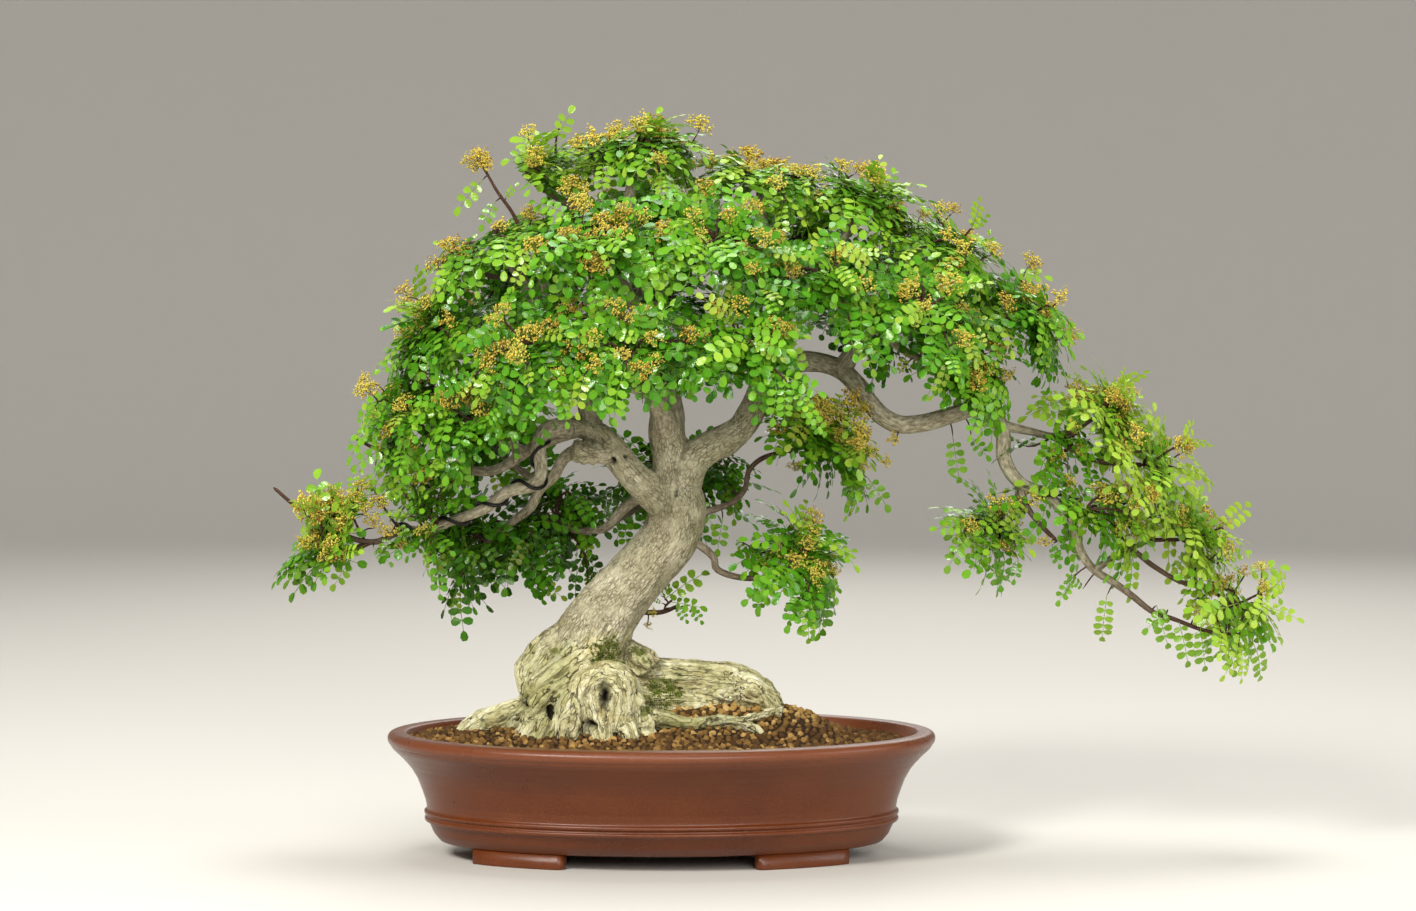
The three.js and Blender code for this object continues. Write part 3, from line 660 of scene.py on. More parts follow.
def nearestLimb(points, samples):
    # for each point, its place in the frame of the limb whose skin it is nearest to
    places, radii, ahead, across, beside, along = samples
    local = np.zeros((len(points), 3))
    thick = np.zeros(len(points))
    for start in range(0, len(points), blockSize):
        block = points[start:start + blockSize]
        gap = np.linalg.norm(block[:, None] - places[None], axis=2) - radii[None]
        best = gap.argmin(axis=1)
        away = block - places[best]
        rows = slice(start, start + blockSize)
        local[rows, 0] = (away * across[best]).sum(axis=1)
        local[rows, 1] = (away * beside[best]).sum(axis=1)
        local[rows, 2] = along[best] + (away * ahead[best]).sum(axis=1)
        thick[rows] = radii[best]
    return local, thick


def fibreFlow(points, normals, samples):
    # the way that the fibres run: along the limbs nearby, round the burl's hollow, out from the knot
    places, radii, ahead = samples[:3]
    flow = np.zeros((len(points), 3))
    for start in range(0, len(points), blockSize):
        block = points[start:start + blockSize]
        gap = np.linalg.norm(block[:, None] - places[None], axis=2) - radii[None]
        best = gap.argmin(axis=1)
        share = np.exp((gap.min(axis=1)[:, None] - gap) / 4.0) * np.sign(ahead[best] @ ahead.T)
        flow[start:start + blockSize] = share @ ahead
    away = points - trunkLook["hollow"]
    depth = np.linalg.norm((points - burl["middle"]) / burl["half"], axis=1)
    onBurl = smoothStep(1.3, 1.08, depth) * smoothStep(-20, -32, points[:, 1])
    sag = np.where(away[:, 2] < 0, 0.1, 0.92)
    ring = np.stack([away[:, 2] * sag, np.zeros(len(points)), -away[:, 0]], axis=1)
    fromKnot = points - trunkLook["knot"]
    atKnot = np.exp(-(np.linalg.norm(fromKnot, axis=1) / 10) ** 2)
    for aim, share in ((ring, onBurl), (fromKnot, atKnot)):
        flow /= np.linalg.norm(flow, axis=1)[:, None] + 1e-6
        aim = aim / (np.linalg.norm(aim, axis=1)[:, None] + 1e-6)
        aim *= np.sign((aim * flow).sum(axis=1))[:, None] + 1e-6
        flow = flow * (1 - share)[:, None] + aim * share[:, None]
    flow -= normals * (flow * normals).sum(axis=1)[:, None]
    flow /= np.linalg.norm(flow, axis=1)[:, None] + 1e-6
    return flow, onBurl, away


def streaks(points, flow, reach, scale, seed):
    # noise drawn out along the fibres, with middle 0 and spread 1
    steps = np.linspace(-reach, reach, 15)
    total = sum(latticeNoise((points + flow * step) * scale, seed) for step in steps)
    return (total - total.mean()) / total.std()


def readRows(data, key, count):
    rows = np.empty(count * 3)
    data.foreach_get(key, rows)
    return rows.reshape(-1, 3)


def fusedWood():
    # all limbs and the burl as one skin, and the samples of their routes
    rough = Part()
    rows = [[] for _ in range(6)]
    for number, points in enumerate(trunkLimbs.values()):
        addTube(rough, points, 28, 5.0, rough=0.06, seed=number, roundTip=False)
        places, radii, along = sampled(points, 4.0)
        ahead, across, beside = framesAlong(places)
        for row, values in zip(rows, (places, radii, ahead, across, beside, along + number * 61.0)):
            row.append(values)
    points, faces = cubeBall(12)
    points = points * burl["half"] + burl["middle"]
    rough.add(points, faces, barkPlace=points, thickness=np.full(len(points), 25.0))
    source = makeObject(rough.mesh("trunkRough"))
    fuse = source.modifiers.new("fuse", "REMESH")
    fuse.mode = "VOXEL"
    fuse.voxel_size = trunkLook["voxel"] * mm
    melt = source.modifiers.new("melt", "SMOOTH")
    melt.factor = 0.5
    melt.iterations = trunkLook["melt"]
    return settled(source, "grownTrunk", True), [np.concatenate(row) for row in rows]


def carvedWood(points, normals, samples):
    # the skin pushed in and out by fibres, rings and hollows, and what the bark is painted by
    local, thick = nearestLimb(points, samples)
    flow, onBurl, away = fibreFlow(points, normals, samples)
    patch = fractalNoise(points * 0.09, 2, 40)
    low = smoothStep(trunkLook["rootTop"], trunkLook["rootLow"], points[:, 2] + 30 * (patch - 0.5))
    rib = streaks(points, flow, 22, 0.15, 11)
    main = streaks(points, flow, 20, 0.34, 12)
    fine = streaks(points, flow, 10, 0.45, 13)
    patch = fractalNoise(points * 0.06, 2, 44) - 0.5
    # rings in the burl, wider below its hollow
    sag = np.where(away[:, 2] < 0, 0.3, 0.92)
    reach = np.hypot(away[:, 0], away[:, 2] * sag) + 5 * patch
    rings = 1.35 * np.sin(reach * 2 * math.pi / trunkLook["ring"] + 0.7 * main)
    share = onBurl * smoothStep(3, 7, reach) * 0.92
    main = main * (1 - share) + rings * share
    for middle, size in trunkLook["eyes"]:
        gap = np.linalg.norm((points - middle) * [1, 0.6, 0.75], axis=1)
        eye = np.exp(-(gap / size) ** 4)
        main = main * (1 - eye) + 1.3 * np.cos(gap * 2 * math.pi / trunkLook["eyeRing"]) * eye
    groove = smoothStep(-0.9, -1.7, main + 1.6 * patch)
    line = np.exp(-(main / 0.4) ** 2)
    broad = fractalNoise(points * 0.05, 2, 21) - 0.5
    push = 3.0 * broad + 0.9 * low + low * (1.3 * rib + 0.25 * main - 1.0 * groove - 0.8 * line)
    push += (1 - low) * (0.3 * rib - 0.25 * groove - 0.15 * line)
    # hollows: pushed in here, and painted near-black as shade in the bark
    hole = np.zeros(len(points))
    for middle, half in trunkLook["pits"]:
        inside = np.linalg.norm((points - middle) / half, axis=1)
        inside = inside + 0.7 * (fractalNoise(points * 0.3, 2, 71) - 0.5)
        hole = np.maximum(hole, np.exp(-(np.maximum(inside, 0) / 0.95) ** 4))
    push -= 7 * hole
    end = np.linalg.norm(points - trunkLook["cutFace"], axis=1)
    near = (end < trunkLook["cutReach"]) & (points[:, 2] < 337) & (points[:, 2] > 315)
    face = smoothStep(-63, -67, points[:, 0]) * near
    push = push * (1 - face) + face * 0.6 * np.sin(end * 2 * math.pi / trunkLook["cutRing"])
    middle, half = trunkLook["stub"]
    stub = np.exp(-np.linalg.norm((points - middle) / half, axis=1) ** 4)
    rise = (points[:, 0] + 0.25 * points[:, 2]) * 2 * math.pi / trunkLook["stubRing"]
    push += stub * trunkLook["stubRise"] * np.sin(rise)
    main = main * (1 - stub) + 1.3 * np.sin(rise / 2 + 0.6) * stub
    points = points + normals * push[:, None]
    mossy = np.zeros(len(points))
    for middle, half, dense in trunkLook["stains"]:
        inside = np.linalg.norm((points - middle) / half, axis=1)
        mossy = np.maximum(mossy, dense * np.exp(-inside ** 4))
    mossy *= smoothStep(0.36, 0.6, fractalNoise(points * 0.14, 3, 52))
    return points, {
        "barkPlace": local, "mossy": mossy, "crack": np.clip((0.25 + 0.75 * low) * groove, 0, 1),
        "thickness": thick, "rootness": low, "fibre": main, "fine": fine, "hole": hole}


def makeTrunk():
    trunk, samples = fusedWood()
    mesh = trunk.data
    count = len(mesh.vertices)
    points = (readRows(mesh.vertices, "co", count) - potMiddle) / mm
    normals = readRows(mesh.vertices, "normal", count)
    points, painted = carvedWood(points, normals, samples)
    mesh.vertices.foreach_set("co", (points * mm + potMiddle).ravel())
    for name, rows in painted.items():
        setRows(mesh, name, rows)
    mesh.materials.clear()
    mesh.materials.append(trunkBark)
    mesh.update()
    attach(trunk, "bark", "trunk")
    print("trunk", count, "points")
    return points, normals


trunkPoints, trunkNormals = makeTrunk()

# each branch is a node; its limbs start in the wood that they grow from and most end in a clump
branches = {
    "branch_crown": [
        [[6, 0, 334, 9], [5, 0, 350, 12.4], [3, 2, 366, 12.6], [0, 4, 385, 12], [-8, 6, 415, 10.5],
         [-14, 2, 445, 9], [-20, -2, 480, 7.5], [-26, 0, 515, 5.5], seat("apex", 2.6)],
        [[-6, 6, 408, 7], [-20, -30, 440, 5.5], [-36, -76, 470, 4], seat("front_left_top", 1.8)],
        [[-13, 2, 440, 6], [10, -36, 462, 4.8], [28, -74, 476, 3.4], seat("front_right_top", 1.8)],
        [[-10, 6, 425, 6.5], [-16, 40, 458, 5], [-22, 78, 488, 3.2], seat("rear_top", 1.8)],
        [[-19, -2, 478, 6], [-60, 0, 512, 4.4], seat("top_left", 1.8)],
    ],
    "branch_front": [
        [[5, 0, 340, 10], [0, -30, 358, 7.5], [-8, -60, 375, 6.5], [-16, -92, 388, 4.4],
         seat("front_middle", 1.8)],
        [[-6, -54, 372, 5.5], [-50, -82, 390, 4.4], seat("front_left", 1.8)],
        [[-10, -66, 378, 5], [28, -86, 392, 4], seat("front_low_right", 1.8)],
    ],
    "branch_left_top": [
        [[-53, -9, 336, 8.5], [-62, 0, 370, 7], [-75, 2, 400, 6.5], [-92, -4, 430, 6],
         [-108, -16, 458, 5], seat("left_front_top", 2.2)],
        [[-74, 2, 398, 5.5], [-110, 2, 408, 4.4], [-145, -8, 414, 3.2], seat("left", 1.8)],
        [[-76, 2, 402, 5.5], [-88, 46, 432, 4.2], seat("rear_left", 1.8)],
        [[-112, -22, 464, 2.6], [-108, -44, 492, 1.8], [-115, -51, 512, 1.5], [-128, -54, 531, 1.2],
         [-136, -54, 545, 1.0], [-143, -54, 556, 0.9]],
        [[-118, -24, 462, 2.4], [-143, -34, 468, 1.8], [-163, -36, 489, 1.1]],
    ],
    "branch_left_mid": [
        [[-44, -4, 334, 6.5], [-64, 6, 341, 6], [-78, 10, 338, 5.5], [-103, 14, 327.5, 5],
         [-115, 15, 320, 4.6], [-125, 14, 313, 4.2], [-140, 10, 308, 3.8], [-156, 6, 310, 3.2],
         [-176, 0, 324, 2.6], seat("left_low", 1.8)],
        [[-108, 14, 324, 3.8], [-122, -20, 332, 3], seat("front_left_low", 1.8)],
        [[-140, 10, 308, 3], [-190, 12, 314, 2.2], [-222, 6, 323, 1.8], [-247, 2, 336, 1.2]],
    ],
    "branch_wired": [
        [[-74, -9, 344, 7.4], [-86, -17, 344, 6.4], [-94, -21, 340, 6], [-97, -24, 328, 5.6],
         [-95.5, -26, 316, 5.4], [-96, -28, 306, 5.2], [-103, -29, 298.6, 5], [-115, -30, 296, 4.8],
         [-125, -30, 292, 4.6], [-135, -29, 283.4, 4.4], [-145.5, -28, 278, 4.2],
         [-156, -27, 274, 4], [-170, -26, 269, 3.8], [-182, -26, 264, 3.5], [-193, -26, 262.6, 3.3],
         [-204, -26, 264, 3], [-226, -27, 254, 2.3], [-246, -28, 257, 2.1], [-266, -29, 268, 1.9],
         [-288, -30, 281, 1.7], [-307.5, -30, 297.5, 1.3]],
        [[-230, -27, 254, 1.9], [-246, -30, 246, 1.6], [-262, -34, 240, 1.3]],
        [[-182, -26, 264, 2.4], [-184, -24, 252, 2], [-182, -22, 240, 1.5]],
    ],
    "branch_left_rear": [
        [[-56, 0, 330, 5.4], [-78, 14, 319.4, 5], [-87, 19, 304, 4.6], [-98, 25, 294, 4.4],
         [-106, 31, 278.6, 4], [-117, 39, 269, 3.6], [-131, 47, 259.4, 3], [-142, 54, 250, 2.6],
         seat("rear_shaded", 1.8)],
        [[-96, 24, 296, 3.4], [-126, 48, 316, 2.8], seat("rear_low_left", 1.8)],
    ],
    "branch_low_rear": [
        [[4, 4, 291, 5.4], [-20, 26, 285, 4.6], [-35.5, 35, 272, 4], [-44, 43, 262, 3.6],
         [-54, 52, 258, 3.2], [-72, 62, 258, 2.8], seat("rear_middle", 1.8)],
        [[-40, 39, 266, 3], [-20, 66, 276, 2.6], seat("rear_inner", 1.8)],
    ],
    "branch_right_top": [
        [[81, 8, 372, 10], [88, 14, 400, 9], [92, 12, 430, 8], [88, 6, 465, 6.5], [82, 2, 500, 5],
         seat("top_right", 2.4)],
        [[91, 12, 428, 6], [122, 2, 462, 5], [144, -2, 492, 4], seat("top_far_right", 1.8)],
        [[91, 12, 424, 6], [106, -30, 440, 4.6], seat("front_right", 1.8)],
        [[92, 12, 434, 6], [100, 50, 456, 4.4], seat("rear_right", 1.8)],
    ],
    "branch_cascade": [
        [[80, 10, 374, 8.5], [96, 20, 390, 8.6], [112, 20, 396, 8.5], [130, 14, 395, 8],
         [145, 8, 389, 8], [157, 2, 377, 7.8], [166, -2, 364, 7.5], [178, -4, 352, 7.5],
         [191, -4, 346.6, 7.5], [212.5, -4, 348, 7], [234, -6, 354.6, 6.8], [253, -8, 359.4, 6.5],
         [267, -8, 352, 6.2], [273, -8, 338, 6], [273, -8, 322, 5.8], [279, -10, 308, 5.5],
         [289, -12, 298, 5.2], [304, -14, 292, 5], [323, -14, 275, 4.3], [330, -12, 261, 4],
         [334.5, -10, 246, 3.8], [345, -10, 231, 3.4], [362, -8, 220, 3], [377, -6, 209, 2.6],
         [394, -6, 196, 2.2], [409, -6, 191, 1.9], [437, -8, 181, 1.5], [468, -10, 178, 1.0]],
        [[270, -8, 346, 4.2], [294, -4, 341, 3.2], [317, 0, 337, 2.8], seat("cascade_top", 1.8)],
        [[312, 0, 337, 2.4], [346, -6, 318, 2.2], seat("cascade_middle", 1.8)],
        [[287, -12, 297, 3.4], [290, -18, 284, 2.6], [300, -22, 269, 2.2], [315, -24, 254, 1.6]],
        [[287, -10, 297, 3], [278, 0, 268, 2.4], seat("cascade_inner", 1.6)],
        [[346, -10, 230, 3], [362, -4, 240, 2.6], [375, 0, 245.8, 2.4], [394, 2, 233, 2.2],
         [416, 2, 220, 1.9], [437, 0, 215.4, 1.7], seat("cascade_end", 1.3)],
        [[366, -3, 241, 2.6], [390, 6, 252, 2], seat("cascade_lower", 1.5)],
    ],
    "branch_shoulder": [
        [[144, 8, 388, 7], [160, 8, 415, 6], [180, 2, 440, 5.5], [205, 0, 462, 4.5],
         seat("shoulder", 1.8)],
        [[184, 2, 444, 4.4], [225, 2, 440, 3.8], [262, 2, 434, 3], seat("right_end", 1.8)],
        [[166, 7, 422, 4.6], [184, -38, 432, 3.6], seat("front_far_right", 1.8)],
        [[163, 8, 418, 4.6], [178, 56, 440, 3.6], seat("rear_far_right", 1.8)],
        [[168, 6, 426, 4.2], [204, -12, 400, 3.2], seat("right_middle", 1.8)],
    ],
    "shoot_trunk_right": [
        [[30, 3, 274, 3.2], [46, 6, 279, 2.5], [58, 8, 284, 2.4], [67, 10, 294, 2.3],
         [70, 10, 308, 2.2], [80, 12, 318, 2], seat("inner_right", 1.6)],
        [[58, 8, 284, 2.2], [62, 34, 286, 2], [58, 60, 290, 1.4]],
    ],
    "shoot_low_right": [
        [[16, -5, 262, 4.2], [28, -8, 252, 3.2], [42, -10, 240, 3], [44, -10, 231.4, 2.8],
         [66, -12, 224, 2.4], [88, -12, 226, 2], seat("low_right", 1.5)],
    ],
    "shoot_trunk_low": [
        [[-24, 4, 198, 2.6], [-12, 9, 194.6, 2.2], [2, 12, 195, 1.8], [14, 14, 200, 1.3]],
    ],
}


woodSpots = []  # routes that leaves and flowers can be tied to


def makeBranches():
    for number, (node, limbs) in enumerate(branches.items()):
        wood = Part()
        for k, points in enumerate(limbs):
            thick = points[0][3]
            sides = 18 if thick > 6 else 10
            spacing = 2.4 if thick > 6 else 3.0
            woodSpots.append(addTube(wood, points, sides, spacing, rough=0.16,
                                     seed=7 * number + k + 3, flare=0.25)[0])
        piece = makeObject(wood.mesh(node.replace("branch_", "wood_")), branchBark)
        attach(piece, "bark", node)
    print("branches", len(branches))


makeBranches()

# Training wire: a long spiral round the wired branch

wireLook = {"radius": 1.5, "turns": 5, "first": 5 / 60, "last": 39 / 60, "gap": 0.25}


def blackWire(graph):
    scuffs = graph.noise(graph.place(), 700.0, 3.0)
    colour = graph.mix(graph.step(scuffs, 0.5, 0.75), rgb(26, 24, 22), rgb(70, 62, 54))
    return {"Base Color": colour, "Metallic": 0.6, "Roughness": 0.42}


wireFinish = finishOf("blackWire", blackWire)


def makeWire():
    places, radii, along = sampled(branches["branch_wired"][0], 3.0)
    _, across, beside = framesAlong(places)
    share = along / along[-1]
    used = (share >= wireLook["first"]) & (share <= wireLook["last"])
    turn = 2 * math.pi * wireLook["turns"] * (share - wireLook["first"])
    turn = turn / (wireLook["last"] - wireLook["first"])
    reach = (radii + wireLook["radius"] + wireLook["gap"])[:, None]
    route = places + reach * (np.cos(turn)[:, None] * across + np.sin(turn)[:, None] * beside)
    rows = [[*spot, wireLook["radius"]] for spot in route[used]]
    wire = Part()
    addTube(wire, rows, 12, 1.6)
    attach(makeObject(wire.mesh("trainingWire"), wireFinish), "bonsai_wire", "training_wire")


makeWire()
print("wire ready")


# Pot

potLook = {
    "halfLength": 219.4, "halfDepth": 150, "narrowing": 1.32, "sides": 160,
    "wall": 9, "footTop": 12, "footInner": 74, "footOuter": 149, "footWidth": 17,
    "drain": 85, "drainRadius": 11, "drainSides": 40, "drainReach": (5, 26),
    # half length and height of each ring from the base over the belt and rim, and down inside
    "outside": [(172, 11), (177.6, 12.6), (183, 19), (186, 26), (187.2, 28.4), (190.2, 29.0),
                (190.4, 31.6), (189.2, 32.8), (189.2, 34.0), (190.6, 35.0), (190.6, 37.4),
                (188.8, 38.2), (188.6, 40.5), (189.6, 46), (192.4, 54), (195.8, 63), (200.8, 71.5),
                (205.8, 77.5), (210.8, 82.6), (215.2, 86.6), (217.2, 89.2), (217.6, 90.6),
                (219.0, 91.8), (219.9, 94.2), (219.7, 97), (218.2, 99.4), (215.6, 100.6), (205.4, 100.4),
                (203.6, 98)],
    "inside": [(200, 86), (188, 69), (181, 50), (176, 28), (168, 20)],
    "arc": 1.1,
}


def depthOf(halfLength):
    return potLook["halfDepth"] - potLook["narrowing"] * (potLook["halfLength"] - halfLength)


def rounded(corners, radius, steps=4):
    # the outline with each inner corner turned into a small arc
    found = [corners[0]]
    for before, corner, after in zip(corners, corners[1:], corners[2:]):
        corner = np.array(corner, dtype=float)
        back = np.array(before) - corner
        ahead = np.array(after) - corner
        cut = min(radius, 0.45 * np.linalg.norm(back), 0.45 * np.linalg.norm(ahead))
        start = corner + unit(back) * cut
        end = corner + unit(ahead) * cut
        for t in np.linspace(0, 1, steps):
            found.append(tuple((1 - t) ** 2 * start + 2 * t * (1 - t) * corner + t * t * end))
    found.append(corners[-1])
    return found


def makePot():
    wall = potLook["wall"]
    outline = rounded(potLook["outside"], potLook["arc"])
    rows = [(a, depthOf(a), height) for a, height in outline]
    rows += [(a, depthOf(a + wall) - wall, height) for a, height in potLook["inside"]]
    rows = [(0.01, 0.01, 11)] + rows + [(0.01, 0.01, 20)]
    sides = potLook["sides"]
    body = Part()
    body.add([spot for row in rows for spot in ringAt(*row, sides)], wallOf(len(rows), sides))
    for side in (-1, 1):
        for front in (-1, 1):
            addFoot(body, side, front)
    pot = makeObject(body.mesh("firedPot"), clay)
    cutDrains(pot)
    attach(pot, "unglazed_clay", "pot")


def addFoot(body, side, front):
    # a slab that follows the oval: outer arc, straight outer end, rounded inner end
    halfX = 176.5
    halfY = depthOf(halfX)

    def onArc(x, inset):
        a, b = halfX - inset, halfY - inset
        return (side * x, front * b * math.sqrt(1 - (x / a) ** 2))

    inner, outer, width = potLook["footInner"], potLook["footOuter"], potLook["footWidth"]
    outline = [onArc(x, 0) for x in np.linspace(inner + 7, outer, 16)]
    outline += [onArc(x, width) for x in np.linspace(outer, inner + 7, 16)]
    for i in range(1, 8):
        turn = math.pi * i / 8
        outline.append(onArc(inner + 7 - 7 * math.sin(turn), width / 2 + width / 2 * math.cos(turn)))
    outline = np.array(outline)
    middle = outline.mean(axis=0)
    levels = [(0, 1.4), (0.4, 0.4), (1.3, 0), (potLook["footTop"], 0)]
    points = []
    for height, inset in levels:
        for spot in outline:
            spot = spot - unit(spot - middle) * inset
            points.append((spot[0], spot[1], height))
    count = len(outline)
    faces = wallOf(len(levels), count)
    faces.append(list(range(count))[::-1])
    faces.append([(len(levels) - 1) * count + k for k in range(count)])
    if side * front < 0:
        faces = [face[::-1] for face in faces]
    body.add(points, faces)


def cutDrains(pot):
    for side in (-1, 1):
        hole = Part()
        radius, count = potLook["drainRadius"], potLook["drainSides"]
        points = [spot for height in potLook["drainReach"]
                  for spot in ringAt(radius, radius, height, count, side * potLook["drain"])]
        caps = [list(range(count))[::-1], list(range(count, 2 * count))]
        hole.add(points, wallOf(2, count) + caps)
        cutter = makeObject(hole.mesh("drainHole"))
        cut = pot.modifiers.new("drain", "BOOLEAN")
        cut.operation = "DIFFERENCE"
        cut.solver = "EXACT"
        cut.object = cutter
        graph = bpy.context.evaluated_depsgraph_get()
        fresh = bpy.data.meshes.new_from_object(pot.evaluated_get(graph), depsgraph=graph)
        pot.modifiers.clear()
        pot.data = fresh
        bpy.data.objects.remove(cutter)


def firedClay(graph):
    place = graph.place()
    cloud = graph.noise(place, 11.0, 4.0, 0.6)
    speck = graph.noise(place, 900.0, 2.0)
    level = graph.axis(place, 2)
    colour = graph.mix(graph.step(cloud, 0.3, 0.7), rgb(85, 37, 7), rgb(99, 47, 12))
    # painted highlight: the pot lighter from 87 mm up, fully from 94 mm, over the rim
    colour = graph.mix(graph.step(level, 0.087, 0.094) * 0.5, colour, rgb(116, 64, 38))
    colour = graph.mix(graph.step(speck, 0.6, 0.72) * 0.4, colour, rgb(140, 88, 60))
    colour = graph.mix(graph.step(speck, 0.4, 0.3) * 0.5, colour, rgb(44, 20, 12))
    wheel = graph.noise(graph.stretched(place, (6.0, 6.0, 190.0)), 1.0, 2.0)
    grit = graph.noise(place, 1500.0, 3.0, 0.7)
    relief = graph.bump(wheel, 0.16, 0.0012)
    relief = graph.bump(grit, 0.28, 0.0004, relief)
    return {"Base Color": colour, "Roughness": graph.step(cloud, 0.3, 0.7, 0.25, 0.36),
            "Normal": relief, "Specular IOR Level": 0.42}


clay = finishOf("firedClay", firedClay)
makePot()
print("pot ready")


# Soil: baked clay granules over a bed painted dark as the shade between them

soilLook = {
    "edgeTop": 94.5, "rimX": 202.6, "rings": 34, "sides": 100, "granule": 3.3, "shapes": 8,
    "apart": 0.0043, "perSquareMetre": 90000.0, "seed": 4, "smallest": 0.6, "largest": 1.2,
    "gap": 0.6,  # between the bed and the pot
    "below": [(181, 50), (168, 20.4)],  # half length and height of the bed's lower rings
    # the bed's low tone is part of the painted shade between the granules
    "bedDepth": 4.0, "bedShadeTone": 0.12,
}


# swellings of the soil: height, middle x, half length, sharpness along x, middle y, half depth
soilSwells = {
    "mound": (15, -50, 118, 2, 0, 84), "heap": (22, 54, 66, 2, 30, 46), "bank": (6, 36, 64, 4, 8, 26),
    "shoulder": (11, 112, 30, 2, 20, 42), "left": (7, -150, 38, 2, -10, 50),
}


def soilHeight(x, y):
    level = soilLook["edgeTop"]
    for rise, middleX, halfX, sharp, middleY, halfY in soilSwells.values():
        level = level + rise * np.exp(-(((x - middleX) / halfX) ** sharp) - ((y - middleY) / halfY) ** 2)
    return level


def granuleShapes():
    # a few broken lumps of twenty faces each
    rng = np.random.default_rng(11)
    gold = (1 + math.sqrt(5)) / 2
    corners = np.array([(-1, gold, 0), (1, gold, 0), (-1, -gold, 0), (1, -gold, 0), (0, -1, gold),
                        (0, 1, gold), (0, -1, -gold), (0, 1, -gold), (gold, 0, -1), (gold, 0, 1),
                        (-gold, 0, -1), (-gold, 0, 1)]) / math.sqrt(1 + gold * gold)
    faces = [[0, 11, 5], [0, 5, 1], [0, 1, 7], [0, 7, 10], [0, 10, 11], [1, 5, 9], [5, 11, 4],
             [11, 10, 2], [10, 7, 6], [7, 1, 8], [3, 9, 4], [3, 4, 2], [3, 2, 6], [3, 6, 8],
             [3, 8, 9], [4, 9, 5], [2, 4, 11], [6, 2, 10], [8, 6, 7], [9, 8, 1]]

    def lump(number):
        points = corners * rng.uniform(0.78, 1.15, 3) + rng.normal(0, 0.11, corners.shape)
        part = Part()
        part.add(points * soilLook["granule"], faces)
        return bpy.data.objects.new("granule%d" % number, part.mesh("granule", False, True))

    return gathered("granules", soilLook["shapes"], lump)


def newTree(name, inputs):
    # an empty tree with named inputs, and links that each of them can be read from
    tree = bpy.data.node_groups.new(name, "GeometryNodeTree")
    for title, kind in inputs.items():
        tree.interface.new_socket(title, in_out="INPUT", socket_type="NodeSocket" + kind)
    tree.interface.new_socket("Made", in_out="OUTPUT", socket_type="NodeSocketGeometry")
    graph = Graph(tree)
    given = tree.nodes.new("NodeGroupInput")
    return graph, {socket.name: Link(graph, socket) for socket in given.outputs if socket.name}


def endTree(graph, geometry, finish):
    painted = graph.node("GeometryNodeSetMaterial", None, {"Geometry": geometry, "Material": finish})
    result = graph.tree.nodes.new("NodeGroupOutput")
    graph.tree.links.new(painted.socket, result.inputs[0])
    return graph.tree


def scatterTree(name):
    # granules of a collection strewn over the covered faces, joined with the bed itself
    graph, wanted = newTree(name, {
        "Bed": "Geometry", "Shapes": "Collection", "Density": "Float", "Apart": "Float",
        "Smallest": "Float", "Largest": "Float", "Seed": "Int", "Finish": "Material"})
    cover = graph.node("GeometryNodeInputNamedAttribute", {"data_type": "FLOAT"}, {"Name": "cover"})
    spots = graph.node("GeometryNodeDistributePointsOnFaces", {"distribute_method": "POISSON"}, {
        "Mesh": wanted["Bed"], "Distance Min": wanted["Apart"], "Density Max": wanted["Density"],
        "Density Factor": cover, "Seed": wanted["Seed"]})
    shapes = graph.node("GeometryNodeCollectionInfo", None, {
        "Collection": wanted["Shapes"], "Separate Children": True, "Reset Children": True})

    # a random value's limits go by number: 0 and 1 vectors, 2 and 3 numbers, 4 and 5 whole numbers
    def drawn(kind, limits, output):
        return graph.node("FunctionNodeRandomValue", {"data_type": kind}, limits, output)

    pick = drawn("INT", {4: 0, 5: 99}, 2)
    turn = drawn("FLOAT_VECTOR", {0: (0.0, 0.0, 0.0), 1: (6.283, 6.283, 6.283)}, 0)
    size = drawn("FLOAT", {2: wanted["Smallest"], 3: wanted["Largest"]}, 1)
    tone = drawn("FLOAT", {2: 0.0, 3: 1.0, 8: 5}, 1)
    strewn = graph.node("GeometryNodeInstanceOnPoints", None, {
        "Points": spots, "Instance": shapes, "Pick Instance": True, "Instance Index": pick,
        "Rotation": turn, "Scale": size})
    for title, value in (("tone", tone), ("cover", 0.0)):
        strewn = graph.node("GeometryNodeStoreNamedAttribute", {
            "data_type": "FLOAT", "domain": "INSTANCE"}, {
            "Geometry": strewn, "Name": title, "Value": value})
    real = graph.node("GeometryNodeRealizeInstances", None, {"Geometry": strewn})
    both = graph.tree.nodes.new("GeometryNodeJoinGeometry")
    for piece in (wanted["Bed"], real):
        graph.tree.links.new(piece.socket, both.inputs[0])
    return endTree(graph, Link(graph, both.outputs[0]), wanted["Finish"])


def runTree(source, tree, values, name, smooth=None):
    modifier = source.modifiers.new("grow", "NODES")
    modifier.node_group = tree
    for item in tree.interface.items_tree:
        if item.in_out == "INPUT" and item.name in values:
            modifier[item.identifier] = values[item.name]
    return settled(source, name, smooth)


